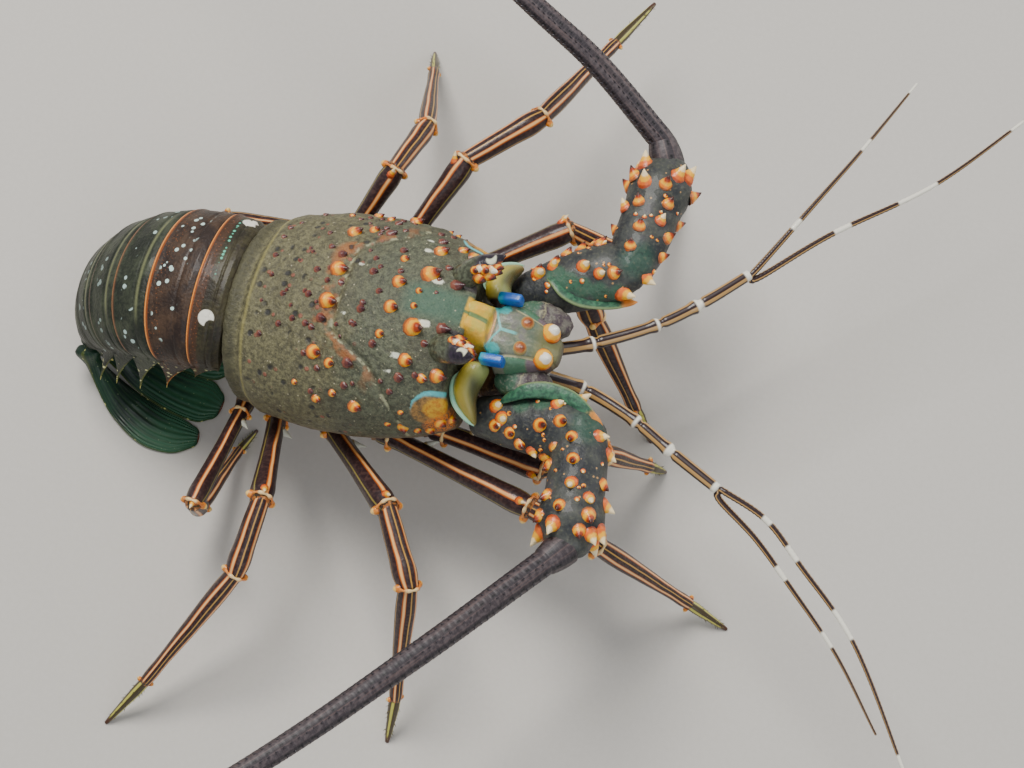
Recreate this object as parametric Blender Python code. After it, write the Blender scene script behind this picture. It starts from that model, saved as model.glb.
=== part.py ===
"""Spiny lobster (Panulirus), life size, standing on its legs with the tail curled under.

Lengths are in millimetres and angles in degrees. to_metres() turns them into the scene's metres.
+X runs towards the head, +Y is the animal's left, +Z is up, and the floor is z = 0.
"""

import math

import bmesh
import bpy
import numpy as np

# Driving sizes
REAR_CREST_HEIGHT = 80.0
PITCH = math.radians(14.0)
GAP = 0.3
SHARP_ANGLE = math.radians(40)
ORIGIN = np.array((71.5, -60.9, 0.0))

SKIN = {
    "shell": ((0.16, 0.14, 0.075), 0.45),
    "underside": ((0.30, 0.24, 0.16), 0.6),
    "plate": ((0.13, 0.17, 0.13), 0.4),
    "eye": ((0.45, 0.40, 0.10), 0.15),
    "peduncle": ((0.09, 0.10, 0.11), 0.45),
    "flagellum": ((0.07, 0.07, 0.10), 0.5),
    "antennule": ((0.05, 0.02, 0.02), 0.4),
    "tail": ((0.10, 0.075, 0.05), 0.4),
    "fan": ((0.03, 0.10, 0.045), 0.4),
    "leg": ((0.09, 0.03, 0.04), 0.4),
}


def clear_scene():
    for obj in list(bpy.data.objects):
        bpy.data.objects.remove(obj)


def material(kind):
    made = bpy.data.materials.get(kind)
    if made is None:
        colour, roughness = SKIN[kind]
        made = bpy.data.materials.new(kind)
        made.use_nodes = True
        shader = made.node_tree.nodes["Principled BSDF"]
        shader.inputs["Base Color"].default_value = (*colour, 1.0)
        shader.inputs["Roughness"].default_value = roughness
    return made


def to_metres(points):
    return (np.asarray(points, float) - ORIGIN) * 0.001


def unit(vector):
    return vector / np.linalg.norm(vector)


def body_point(along, across, above):
    """A point given along the carapace from its rear edge, across to the left, and above its crest line."""
    x = along * math.cos(PITCH) - above * math.sin(PITCH)
    z = REAR_CREST_HEIGHT + along * math.sin(PITCH) + above * math.cos(PITCH)
    return np.array((x, across, z))


def skin_through(rings):
    """Vertices and faces of a closed body through rings of points; a ring of one point is a pole."""
    points = []
    starts = []
    for ring in rings:
        starts.append(len(points))
        points.extend(ring)
    faces = []
    for row in range(len(rings) - 1):
        a, b = starts[row], starts[row + 1]
        m, n = len(rings[row]), len(rings[row + 1])
        count = max(m, n)
        for i in range(count):
            j = (i + 1) % count
            if m == 1:
                faces.append((a, b + j, b + i))
            elif n == 1:
                faces.append((a + i, a + j, b))
            else:
                faces.append((a + i, a + j, b + j))
                faces.append((a + i, b + j, b + i))
    for ring, start, turn in ((rings[0], starts[0], True), (rings[-1], starts[-1], False)):
        count = len(ring)
        if count > 1:
            centre = len(points)
            points.append(np.mean(ring, axis=0))
            for i in range(count):
                j = (i + 1) % count
                faces.append((start + j, start + i, centre) if turn else (start + i, start + j, centre))
    return points, faces


def add_body(name, kind, rings):
    """One closed mesh object through rings of points in millimetres."""
    points, faces = skin_through(rings)
    mesh = bpy.data.meshes.new(name)
    mesh.from_pydata(to_metres(points).tolist(), [], faces)
    bm = bmesh.new()
    bm.from_mesh(mesh)
    bmesh.ops.recalc_face_normals(bm, faces=bm.faces)
    bm.to_mesh(mesh)
    bm.free()
    mesh.shade_smooth()
    mesh.set_sharp_from_angle(angle=SHARP_ANGLE)
    mesh.materials.append(material(kind))
    obj = bpy.data.objects.new(name, mesh)
    bpy.context.scene.collection.objects.link(obj)
    return obj


def ring_at(centre, along, side, width, height, sides):
    """A ring square to along; side is the direction in which its full width is measured."""
    along = unit(np.asarray(along, float))
    side = np.asarray(side, float)
    side = unit(side - along * side.dot(along))
    other = np.cross(along, side)
    turns = [2 * math.pi * (i + 0.5) / sides for i in range(sides)]
    return [centre + side * width / 2 * math.cos(t) + other * height / 2 * math.sin(t) for t in turns]


def tangents(path):
    path = np.asarray(path, float)
    steps = np.diff(path, axis=0)
    steps = steps / np.linalg.norm(steps, axis=1)[:, None]
    inner = steps[:-1] + steps[1:]
    return [steps[0]] + [unit(t) for t in inner] + [steps[-1]]


def tube(path, widths, heights, side, sides):
    """Rings along a path, each square to the path's direction there."""
    path = np.asarray(path, float)
    return [
        ring_at(point, along, side, width, height, sides)
        for point, along, width, height in zip(path, tangents(path), widths, heights)
    ]


STEPS_BETWEEN_KNOTS = 24


def smooth_path(knots, count):
    """Points along a smooth curve through the knots, evenly spaced."""
    knots = np.asarray(knots, float)
    padded = np.vstack([2 * knots[0] - knots[1], knots, 2 * knots[-1] - knots[-2]])
    dense = []
    for i in range(1, len(padded) - 2):
        p0, p1, p2, p3 = padded[i - 1 : i + 3]
        for t in np.linspace(0, 1, STEPS_BETWEEN_KNOTS, endpoint=False):
            dense.append(
                0.5
                * (
                    2 * p1
                    + (p2 - p0) * t
                    + (2 * p0 - 5 * p1 + 4 * p2 - p3) * t**2
                    + (3 * p1 - p0 - 3 * p2 + p3) * t**3
                )
            )
    dense.append(knots[-1])
    dense = np.array(dense)
    lengths = np.concatenate([[0], np.cumsum(np.linalg.norm(np.diff(dense, axis=0), axis=1))])
    wanted = np.linspace(0, lengths[-1], count)
    return np.stack([np.interp(wanted, lengths, dense[:, k]) for k in range(3)], axis=1)


SPINE_SIDES = 5
SPINE_SINK = 1.3
SPINE_WAIST = (0.45, 0.6)


def spine(root, way, height, width):
    """A tapering thorn whose root is sunk under the surface it stands on."""
    way = unit(np.asarray(way, float))
    side = np.cross(way, (0.31, 0.52, 0.79))
    rings = []
    for place, share in ((-SPINE_SINK, 1.0), (height * SPINE_WAIST[0], SPINE_WAIST[1])):
        rings.append(ring_at(root + way * place, way, side, width * share, width * share, SPINE_SIDES))
    rings.append([root + way * height])
    return add_body("spine", "shell", rings)


# Carapace: place along it, half width, crest above the crest line, crest to widest level, lower edge
CARAPACE_SECTIONS = (
    (0.3, 33.0, 0.0, 27.0, -42.0),
    (3.0, 34.6, 0.6, 27.5, -43.0),
    (6.0, 35.2, 0.4, 28.0, -43.5),
    (9.0, 37.2, 1.6, 28.5, -44.0),
    (16.0, 39.0, 2.4, 29.0, -44.0),
    (25.0, 40.5, 3.5, 29.0, -44.0),
    (34.0, 41.3, 4.4, 29.0, -44.0),
    (42.0, 41.2, 4.2, 29.0, -44.0),
    (50.0, 41.2, 4.6, 29.0, -44.0),
    (60.0, 40.0, 4.8, 29.0, -43.5),
    (70.0, 38.0, 4.2, 28.5, -43.0),
    (79.0, 35.0, 3.0, 28.0, -41.5),
    (85.0, 32.5, 1.3, 27.0, -39.8),
    (90.7, 29.0, -2.5, 24.5, -37.0),
)
CREST_POINTS = 21
# The flank and underside: share of the half width, and of the depth below the widest level
FLANK = ((1.0, 0.35), (0.95, 0.7), (0.84, 1.0), (0.74, 0.93), (0.4, 0.86))
UNDERSIDE_DEPTH = FLANK[-1][1]


# Carapace spines, mirrored to both sides: place along it, distance from the midline, height, width
CARAPACE_SPINES = (
    (18.0, 10.0, 1.6, 2.4),
    (40.0, 6.0, 4.6, 5.0),
    (54.5, 7.5, 3.0, 3.4),
    (64.0, 5.0, 3.0, 3.4),
    (75.5, 10.5, 5.4, 5.2),
    (84.0, 6.0, 3.2, 3.4),
    (39.0, 13.0, 2.6, 3.2),
    (62.0, 14.5, 3.0, 3.4),
    (61.0, 18.0, 2.0, 2.4),
    (74.0, 21.5, 4.2, 4.4),
    (32.0, 23.0, 2.4, 3.0),
    (40.0, 24.5, 4.4, 4.8),
    (47.0, 28.5, 2.8, 3.4),
    (54.0, 26.5, 3.0, 3.6),
    (79.0, 25.0, 3.4, 3.6),
    (31.0, 36.5, 2.0, 2.6),
    (40.0, 36.5, 3.0, 3.4),
    (48.0, 35.0, 2.2, 2.8),
    (56.0, 36.5, 3.6, 4.0),
    (63.0, 34.0, 2.4, 3.0),
    (69.0, 36.5, 3.0, 3.2),
    (75.0, 35.0, 3.2, 3.4),
    (80.5, 32.0, 3.4, 3.4),
    (11.0, 34.0, 1.6, 2.4),
)
MIDLINE_SPINE = (58.0, 0.0, 1.8, 2.4)
HORN_PATH = ((81.0, 12.5, -6.0), (85.5, 13.2, -0.6), (90.5, 14.2, 3.0), (97.0, 15.0, 5.4))
HORN_WIDTHS = (9.0, 7.4, 4.6)
HORN_SIDES = 7
SPINE_LEAN = 0.9
SIDE_LEAN = 2.0
NEAR = 0.4


def crest_level(along, across):
    """Height of the carapace's upper surface above the crest line."""
    rows = np.array(CARAPACE_SECTIONS)
    half_width, crest, drop = (np.interp(along, rows[:, 0], rows[:, k]) for k in (1, 2, 3))
    return crest - drop + drop * math.sqrt(max(0.0, 1 - (across / half_width) ** 2))


def carapace_thorn(along, across, height, width):
    root = body_point(along, across, crest_level(along, across))
    ahead = body_point(along + NEAR, across, crest_level(along + NEAR, across)) - root
    beside = body_point(along, across - NEAR, crest_level(along, across - NEAR)) - root
    normal = unit(np.cross(beside, ahead))
    if normal[2] < 0:
        normal = -normal
    sideways = abs(normal[1])
    return spine(root, normal + unit(ahead) * (SPINE_LEAN + SIDE_LEAN * sideways**4), height, width)


def horn(sign):
    path = [body_point(u, sign * v, w) for u, v, w in HORN_PATH]
    rings = tube(path[:-1], HORN_WIDTHS, HORN_WIDTHS, (0, 1, 0), HORN_SIDES)
    rings.append([path[-1]])
    return add_body("horn", "shell", rings)


FRONT_MIDDLE = 0.46
# The front edge stands back behind the eyes: how far, and the distance across where that starts and is full
NOTCH = 4.2
NOTCH_START = 10.0
NOTCH_FULL = 16.0


def carapace_ring(along, half_width, crest, drop, low):
    level = crest - drop
    ring = []
    for i in range(CREST_POINTS):
        t = math.pi * i / (CREST_POINTS - 1)
        ring.append((along, -half_width * math.cos(t), level + drop * math.sin(t)))
    for across, depth in FLANK:
        ring.append((along, half_width * across, level + (low - level) * depth))
    for across, depth in reversed(FLANK):
        ring.append((along, -half_width * across, level + (low - level) * depth))
    return ring


def notch(across):
    share = (abs(across) - NOTCH_START) / (NOTCH_FULL - NOTCH_START)
    return NOTCH * min(1.0, max(0.0, share))


def carapace():
    """Rings along the shell; the last stands back at the sides, behind the eyes, round a flat middle."""
    rings = [carapace_ring(*section) for section in CARAPACE_SECTIONS]
    front = rings[-1]
    along, _, _, drop, _ = CARAPACE_SECTIONS[-1]
    level = CARAPACE_SECTIONS[-1][2] - drop
    middle = [(along, v * FRONT_MIDDLE, level + (w - level) * FRONT_MIDDLE) for _, v, w in front]
    rings[-1] = [(u - notch(v), v, w) for u, v, w in front]
    rings.append(middle)
    shell = add_body("carapace", "shell", [[body_point(*point) for point in ring] for ring in rings])
    thorns = [carapace_thorn(*MIDLINE_SPINE)]
    for sign in (1, -1):
        thorns.append(horn(sign))
        for place, across, height, width in CARAPACE_SPINES:
            thorns.append(carapace_thorn(place, sign * across, height, width))
    fuse(shell, thorns)


def underside_level(along):
    """The level of the carapace's flat underside near the middle."""
    rows = np.array(CARAPACE_SECTIONS)
    crest, drop, low = (np.interp(along, rows[:, 0], rows[:, k]) for k in (2, 3, 4))
    level = crest - drop
    return level + (low - level) * UNDERSIDE_DEPTH


# Legs: where each leaves the body, then knee, wrist, ankle and tip of the toe
LEG_POINTS = {
    "right_1": ((83, -26, 48), (124, -32, 53), (144, -17, 44), (160, -5.5, 12), (166.2, -1.6, 0)),
    "right_2": ((64, -31, 42.5), (124.5, -48.5, 56), (151.5, -54.5, 53), (188, -53, 9), (204, -56, 0)),
    "right_3": ((43, -32, 37), (76.5, -64.5, 62), (91.7, -89, 58), (94, -119, 15), (94, -132, 0)),
    "right_4": ((22, -32, 33), (32, -73, 60), (29, -98, 46), (4, -138, 14), (-8, -154, 0)),
    "right_5": ((8, -31, 30), (7, -78, 50), (4, -72, 26), (6, -40, 4.5), (9, -29, 0)),
    "left_1": ((82, 26, 47), (116, 43, 60), (126, 36, 39), (149, 16.5, 10), (158, 9, 0)),
    "left_2": ((64, 31, 42.5), (109, 62, 55), (132, 61, 46), (140, 108, 12), (142, 126, 0)),
    "left_3": ((43, 32, 37), (64, 77, 60), (86.5, 103, 60), (103.6, 151, 45), (113.4, 176, 40)),
    "left_4": ((22, 32, 33), (39, 66, 60), (43, 93, 48), (32, 136, 14), (27, 152, 0)),
    "left_5": ((8, 31, 30), (-22, 38, 26), (-29, 50, 12), (1, 59, 4), (13, 62, 0)),
}
LEG_SIZE = {"1": 1.05, "2": 1.0, "3": 1.0, "4": 0.95, "5": 0.82}
LEG_SIDES = 10
# Fraction along each length, and the width there of an average leg
UPPER_SHAPE = ((0.0, 8.6), (0.12, 7.6), (0.5, 7.8), (0.86, 9.2), (1.0, 7.6))
WRIST_SHAPE = ((0.0, 7.2), (0.25, 8.0), (0.8, 8.6), (1.0, 7.0))
SHANK_SHAPE = ((0.0, 7.0), (0.15, 7.4), (0.5, 6.2), (0.9, 4.8), (1.0, 4.2))
TOE_SHAPE = ((0.0, 4.2), (0.5, 3.4), (1.0, 2.0))
DEPTH_SHARE = 1.12


def leg_side(points):
    """The direction square to the plane in which the leg bends."""
    start, knee, wrist, ankle, toe = points
    return unit(np.cross(knee - start, ankle - knee))


def joint_cut(before, joint, after):
    """The normal of the plane in which two lengths of a limb meet."""
    return unit(unit(joint - before) + unit(after - joint))


def mitred(start, end, shape, first_cut, last_cut, side, depth_share, sides):
    """Rings along one straight length whose ends are cut by the given planes."""
    along = unit(end - start)
    side = unit(side - along * side.dot(along))
    other = np.cross(along, side)
    turns = [2 * math.pi * (i + 0.5) / sides for i in range(sides)]
    rings = []
    for fraction, width in shape:
        ring = []
        for turn in turns:
            offset = width / 2 * (side * math.cos(turn) + other * depth_share * math.sin(turn))
            first = start - along * (offset.dot(first_cut) / along.dot(first_cut))
            last = end - along * (offset.dot(last_cut) / along.dot(last_cut))
            ring.append(first + (last - first) * fraction + offset)
        rings.append(ring)
    return rings


# The knee's thorn on an average leg: back from the knee, out from the middle, height, width, lean
KNEE_THORN = (3.6, 4.2, 4.0, 3.0, 0.8)


def knee_thorn(start, knee, wrist, size):
    """The thorn on the outside of the knee's bend."""
    back, out, height, width, lean = KNEE_THORN
    along = unit(knee - start)
    outward = along - unit(wrist - knee)
    outward = unit(outward - along * outward.dot(along))
    root = knee - along * back * size + outward * out * size * DEPTH_SHARE
    return spine(root, outward + along * lean, height * size, width * size)


def leg(name):
    points = [np.array(p, float) for p in LEG_POINTS[name]]
    size = LEG_SIZE[name[-1]]
    start, knee, wrist, ankle, toe = points
    side = leg_side(points)
    hip_cut = joint_cut(start - hip_direction(name), start, knee)
    knee_cut = joint_cut(start, knee, wrist)
    wrist_cut = joint_cut(knee, wrist, ankle)
    ankle_cut = joint_cut(wrist, ankle, toe)
    toe_cut = np.array((0.0, 0.0, -1.0)) if toe[2] < GAP else unit(toe - ankle)
    lengths = (
        (start + hip_cut * GAP, knee - knee_cut * GAP / 2, UPPER_SHAPE, hip_cut, knee_cut),
        (knee + knee_cut * GAP / 2, wrist, WRIST_SHAPE, knee_cut, wrist_cut),
        (wrist, ankle, SHANK_SHAPE, wrist_cut, ankle_cut),
        (ankle, toe, TOE_SHAPE, ankle_cut, toe_cut),
    )
    made = []
    for first, last, shape, first_cut, last_cut in lengths:
        sized = [(fraction, width * size) for fraction, width in shape]
        made.append(mitred(first, last, sized, first_cut, last_cut, side, DEPTH_SHARE, LEG_SIDES))
    upper, wrist_rings, shank, toe_rings = made
    thigh = add_body(f"leg_{name}_upper", "leg", upper)
    fuse(thigh, [knee_thorn(start, knee, wrist, size)])
    add_body(f"leg_{name}_lower", "leg", wrist_rings + shank[1:] + toe_rings[1:])


def hip_direction(name):
    start = np.array(LEG_POINTS[name][0], float)
    inner = start * (1, 0.3, 1) + (0, 0, 1)
    return start - inner


# Sternum: place along the body and half width
STERNUM_SECTIONS = (
    (-9.0, 9.0),
    (-4.0, 13.0),
    (6.0, 15.0),
    (16.0, 16.5),
    (34.0, 17.0),
    (50.0, 16.0),
    (60.0, 14.5),
    (70.0, 13.0),
    (79.0, 11.0),
)
STERNUM_BOTTOM = -56.5


def sternum_ring(along, half_width):
    top = underside_level(along) - GAP
    outline = (
        (-0.75, top),
        (0.75, top),
        (1.0, top - 4),
        (0.85, STERNUM_BOTTOM + 2),
        (0.4, STERNUM_BOTTOM),
        (-0.4, STERNUM_BOTTOM),
        (-0.85, STERNUM_BOTTOM + 2),
        (-1.0, top - 4),
    )
    return [body_point(along, half_width * across, above) for across, above in outline]


STUB_SHAPE = ((0.0, 1.12), (0.5, 1.15), (0.85, 1.15), (1.0, 1.0))


def hip_stub(name):
    """The hip that carries a leg, as a short limb out of the sternum."""
    points = [np.array(p, float) for p in LEG_POINTS[name]]
    end = points[0]
    way = hip_direction(name)
    width = UPPER_SHAPE[0][1] * LEG_SIZE[name[-1]]
    shape = [(fraction, width * share) for fraction, share in STUB_SHAPE]
    cut = joint_cut(end - way, end, points[1])
    return mitred(end - way, end, shape, unit(way), cut, leg_side(points), 1.0, LEG_SIDES)


def sternum():
    body = add_body("sternum", "underside", [sternum_ring(*section) for section in STERNUM_SECTIONS])
    stubs = [add_body("hip", "underside", hip_stub(name)) for name in LEG_POINTS]
    fuse(body, stubs)


def fuse(body, pieces):
    """Joins the pieces to the body in one union and keeps the largest closed surface."""
    group = bpy.data.collections.new("pieces")
    bpy.context.scene.collection.children.link(group)
    for piece in pieces:
        bpy.context.scene.collection.objects.unlink(piece)
        group.objects.link(piece)
    union = body.modifiers.new("union", "BOOLEAN")
    union.operation = "UNION"
    union.operand_type = "COLLECTION"
    union.collection = group
    bpy.context.view_layer.update()
    graph = bpy.context.evaluated_depsgraph_get()
    mesh = bpy.data.meshes.new_from_object(body.evaluated_get(graph))
    body.modifiers.clear()
    body.data = mesh
    for piece in pieces:
        bpy.data.objects.remove(piece)
    bpy.data.collections.remove(group)
    keep_largest(mesh)


def keep_largest(mesh):
    bm = bmesh.new()
    bm.from_mesh(mesh)
    bmesh.ops.remove_doubles(bm, verts=bm.verts, dist=1e-6)
    bmesh.ops.triangulate(bm, faces=bm.faces)
    left = set(bm.faces)
    shells = []
    while left:
        stack = [left.pop()]
        shell = []
        while stack:
            face = stack.pop()
            shell.append(face)
            for edge in face.edges:
                for other in edge.link_faces:
                    if other in left:
                        left.remove(other)
                        stack.append(other)
        volume = sum(f.verts[0].co.dot(f.verts[1].co.cross(f.verts[2].co)) for f in shell) / 6
        shells.append((volume, shell))
    shells.sort(key=lambda pair: pair[0])
    dropped = [face for _, shell in shells[:-1] for face in shell]
    bmesh.ops.delete(bm, geom=dropped, context="FACES")
    bm.to_mesh(mesh)
    bm.free()


# Head front between the antennae: place, half width, top and bottom levels
HEAD_SECTIONS = (
    (91.0, 13.0, -8.0, -34.0),
    (98.0, 13.5, -9.5, -34.0),
    (104.0, 13.5, -11.0, -33.5),
    (110.0, 11.5, -14.0, -32.0),
    (115.0, 8.5, -18.0, -30.0),
    (118.0, 5.5, -21.0, -28.5),
)


def rounded_ring(along, half_width, top, bottom, sides=16, square=0.6):
    """A ring between a circle and a box, across the body."""
    middle = (top + bottom) / 2
    half = (top - bottom) / 2
    ring = []
    for i in range(sides):
        t = 2 * math.pi * (i + 0.5) / sides
        c, s = math.cos(t), math.sin(t)
        across = half_width * math.copysign(abs(c) ** square, c)
        above = middle + half * math.copysign(abs(s) ** square, s)
        ring.append(body_point(along, across, above))
    return ring


# Spines on the head's front, mirrored: place along the body, across, level, height, width
HEAD_SPINES = ((112.0, 4.6, -16.5, 6.0, 5.0), (104.5, 4.6, -12.0, 3.4, 4.0))


def head_front():
    body = add_body("antennular_plate", "plate", [rounded_ring(*s) for s in HEAD_SECTIONS])
    thorns = []
    for sign in (1, -1):
        for along, across, above, height, width in HEAD_SPINES:
            root = body_point(along, sign * across, above)
            thorns.append(spine(root, (0.75, 0.0, 0.66), height, width))
    fuse(body, thorns)


EYE_CENTRE = (96.2, 25.0, -17.0)
EYE_HALF = (6.8, 7.5, 6.2)
EYE_SIDES = 14
# Distance from the midline, and the share of the eye's full size there
EYE_SHAPE = ((15.5, 0.6), (17.5, 0.72), (20.0, 0.93), (23.0, 1.0), (26.0, 0.98), (29.0, 0.82), (31.4, 0.5))
STALK_FOOT = (13.5 + GAP, 0.55)


def eye(name, sign):
    """A stalk out of the head's side that widens to the eye's rounded cap."""
    along, across, above = EYE_CENTRE
    rings = []
    for place, share in (STALK_FOOT, *EYE_SHAPE):
        ring = []
        for i in range(EYE_SIDES):
            t = 2 * math.pi * i / EYE_SIDES
            forward = along + EYE_HALF[0] * share * math.cos(t)
            up = above + EYE_HALF[2] * share * math.sin(t)
            ring.append(body_point(forward, sign * place, up))
        rings.append(ring)
    rings.append([body_point(along, sign * (across + EYE_HALF[1]), above)])
    return add_body(name, "eye", rings)


# Antennae: base, elbow and end of the arm, then the flagellum's knots
ANTENNA = {
    "left": {
        "base": (100, 24, 69.5),
        "elbow": (137, 42, 80),
        "end": (140, 84, 81),
        "knots": (
            (135, 93, 84), (105, 110, 98), (76, 122, 109),
            (10, 152, 130), (-60, 190, 143), (-140, 250, 150),
        ),
    },
    "right": {
        "base": (100, -24.5, 69.5),
        "elbow": (137, -24, 80),
        "end": (143, -66, 81),
        "knots": (
            (137, -75, 83), (105, -122, 94), (67, -173, 104),
            (5, -245, 118), (-50, -310, 126), (-85, -372, 130),
        ),
    },
}
BASE_SHAPE = ((0.0, 15.0), (0.2, 18.5), (0.6, 22.5), (0.85, 22.0), (1.0, 17.5))
ARM_SHAPE = ((0.0, 17.0), (0.2, 20.0), (0.55, 21.0), (0.85, 22.5), (1.0, 16.0))
ROOT_WIDTH = 13.0
FLAGELLUM_WIDTHS = (10.0, 8.8, 7.6, 5.6, 3.6, 1.4)
FLAGELLUM_PARTS = 3
FLAGELLUM_POINTS = 25
FLAGELLUM_SIDES = 10
UP = np.array((0.0, 0.0, 1.0))
ARM_SIDES = 16
FLATNESS = 0.86


# Antenna spines: fraction along the length, turn round it in degrees, height
ANTENNA_SPINES = {
    "left_base": (
        (0.24, 55, 3.0), (0.4, 48, 3.0), (0.5, 24, 3.4), (0.64, 85, 4.2), (0.62, 11, 3.8),
        (0.74, 11, 3.8), (0.8, 24, 4.0), (0.76, 107, 3.0), (0.88, 113, 3.8), (0.9, 168, 5.5),
        (0.88, -150, 5.0),
    ),
    "left_arm": (
        (0.3, -8, 3.6), (0.12, 76, 3.0), (0.31, 81, 3.4), (0.49, 24, 3.8), (0.54, 60, 3.4),
        (0.73, -4, 4.2), (0.79, 27, 4.4), (0.73, 61, 5.0), (0.93, 34, 5.6), (0.92, -12, 5.0),
        (0.93, 147, 5.6), (0.88, 118, 5.2), (0.75, 100, 3.8), (0.81, 180, 4.6), (0.6, 120, 3.4),
        (0.43, 118, 3.2), (0.53, -169, 3.8), (0.33, 152, 3.6), (0.16, 165, 3.4),
    ),
    "right_base": (
        (0.23, 125, 3.2), (0.39, 134, 3.0), (0.49, 156, 3.4), (0.6, 170, 3.2), (0.68, 109, 4.2),
        (0.72, -176, 4.0), (0.86, 96, 3.6), (0.78, 62, 3.4), (0.9, 12, 6.0), (0.84, 150, 3.4),
    ),
    "right_arm": (
        (0.36, 168, 3.6), (0.34, 101, 3.2), (0.14, 112, 3.0), (0.55, 99, 3.6), (0.49, 25, 3.6),
        (0.65, 150, 3.8), (0.76, 113, 3.4), (0.66, 61, 3.4), (0.64, 4, 5.0), (0.81, 59, 4.6),
        (0.82, 161, 3.8), (0.91, 126, 5.2), (0.94, 69, 4.0), (0.89, 14, 5.4), (0.92, -168, 6.6),
        (0.93, -132, 4.6), (0.94, 38, 5.0), (0.93, -30, 5.6), (0.94, -90, 5.6), (0.2, 8, 4.2),
    ),
}
ANTENNA_LEAN = 0.55
# A thorn's width is the first number and the second times its height; its foot is sunk by the third
THORN_WIDTH = (1.6, 0.48)
THORN_FOOT = 0.3


def limb_thorn(start, end, shape, side, fraction, turn, height):
    """A thorn on a stout length, leaning towards its far end."""
    along = unit(end - start)
    side = unit(side - along * side.dot(along))
    other = np.cross(along, side)
    width = np.interp(fraction, [f for f, _ in shape], [w for _, w in shape])
    angle = math.radians(turn)
    out = side * math.cos(angle) + other * FLATNESS * math.sin(angle)
    root = start + (end - start) * fraction + out * (width / 2 - THORN_FOOT)
    return spine(root, unit(out) + along * ANTENNA_LEAN, height, THORN_WIDTH[0] + THORN_WIDTH[1] * height)


def antenna(side_name):
    spec = ANTENNA[side_name]
    base, elbow, end = (np.array(spec[k], float) for k in ("base", "elbow", "end"))
    path = smooth_path(spec["knots"], FLAGELLUM_POINTS)
    root = path[0]
    cut_elbow = joint_cut(base, elbow, end)
    cut_end = joint_cut(elbow, end, root)
    limb(f"antenna_{side_name}_base", base, elbow, BASE_SHAPE, None, cut_elbow)
    limb(f"antenna_{side_name}_arm", elbow, end, ARM_SHAPE, cut_elbow, cut_end)
    flagellum(side_name, end, cut_end, path)


def limb(name, start, end, shape, cut_start, cut_end):
    """A stout length of an antenna, cut by the planes in which it meets its neighbours."""
    along = unit(end - start)
    level = np.cross(UP, along)
    first = start
    if cut_start is None:
        cut_start = along
    else:
        first = start + cut_start * GAP / 2
    last = end - cut_end * GAP / 2
    rings = mitred(first, last, shape, cut_start, cut_end, level, FLATNESS, ARM_SIDES)
    body = add_body(name, "peduncle", rings)
    rows = ANTENNA_SPINES[name.replace("antenna_", "")]
    fuse(body, [limb_thorn(start, end, shape, level, *row) for row in rows])


def flagellum(side_name, end, cut_end, path):
    level = unit(np.cross(UP, path[1] - path[0]))
    count = len(path)
    widths = spread(FLAGELLUM_WIDTHS, count)
    ways = tangents(path)
    step = (count - 1) // FLAGELLUM_PARTS
    for part in range(FLAGELLUM_PARTS):
        first, last = part * step, (part + 1) * step
        rings = []
        for k in range(first, last + 1):
            centre = path[k]
            if k == first and part > 0:
                centre = centre + ways[k] * GAP / 2
            if k == last and part < FLAGELLUM_PARTS - 1:
                centre = centre - ways[k] * GAP / 2
            rings.append(ring_at(centre, ways[k], level, widths[k], widths[k], FLAGELLUM_SIDES))
        if part == 0:
            foot = end + cut_end * GAP / 2
            rings.insert(0, ring_at(foot, cut_end, level, ROOT_WIDTH, ROOT_WIDTH * FLATNESS, FLAGELLUM_SIDES))
        add_body(f"flagellum_{side_name}_{part + 1}", "flagellum", rings)


# Antennules: jointed stalk, then a long outer and a shorter inner whip
ANTENNULE = {
    "left": {
        "stalk": ((117, 5, 74), (130, 14, 68), (150, 27, 68), (165, 41, 68), (179, 57, 68)),
        "outer": ((181, 60, 68.5), (194, 88, 70), (207, 117, 70), (221, 150, 72)),
        "inner": ((182, 57, 66.5), (204, 82, 66), (236, 112, 66), (262, 146, 67), (278, 168, 68)),
    },
    "right": {
        "stalk": ((117, -5, 74), (132, -3, 66), (151, -9, 66), (169, -18, 66), (188, -27, 66)),
        "outer": (
            (191, -27.5, 66.5), (207, -33, 65), (222, -45, 63),
            (247, -67, 60), (273, -105, 58), (283, -122, 58),
        ),
        "inner": ((189.5, -30, 64), (205, -39, 60), (220, -51, 57), (242, -70, 53), (262, -94, 52)),
    },
}
STALK_WIDTHS = (5.2, 4.8, 4.4, 4.4, 4.0)
WHIP_WIDTH = 2.6
WHIP_TIP = 0.9
STALK_POINTS = 17
STALK_SIDES = 8
WHIP_POINTS = 15
WHIP_SIDES = 7


def spread(values, count):
    """A few values spread evenly over a number of points."""
    return np.interp(np.linspace(0, 1, count), np.linspace(0, 1, len(values)), values)


def antennule(side_name):
    spec = ANTENNULE[side_name]
    stalk = smooth_path(spec["stalk"], STALK_POINTS)
    widths = spread(STALK_WIDTHS, STALK_POINTS)
    level = np.cross(UP, stalk[-1] - stalk[0])
    add_body(f"antennule_{side_name}_stalk", "antennule", tube(stalk, widths, widths, level, STALK_SIDES))
    for whip in ("outer", "inner"):
        path = smooth_path(spec[whip], WHIP_POINTS)
        widths = spread((WHIP_WIDTH, WHIP_TIP), WHIP_POINTS)
        level = np.cross(UP, path[-1] - path[0])
        add_body(f"antennule_{side_name}_{whip}", "antennule", tube(path, widths, widths, level, WHIP_SIDES))


# Tail: each ring's length along the crest and the angle its crest has turned down by its rear edge
SOMITES = ((13.0, 10.0), (20.0, 26.0), (18.0, 40.0), (17.0, 53.0), (16.0, 68.0), (19.0, 94.0))
TAIL_START = (-0.3, 0.0, 81.0)
TAIL_HALF_WIDTHS = (30.0, 31.0, 31.0, 29.5, 27.5, 25.0, 21.0)
TAIL_ARCH = (21.0, 21.5, 21.0, 20.0, 18.5, 17.0, 13.0)
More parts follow.
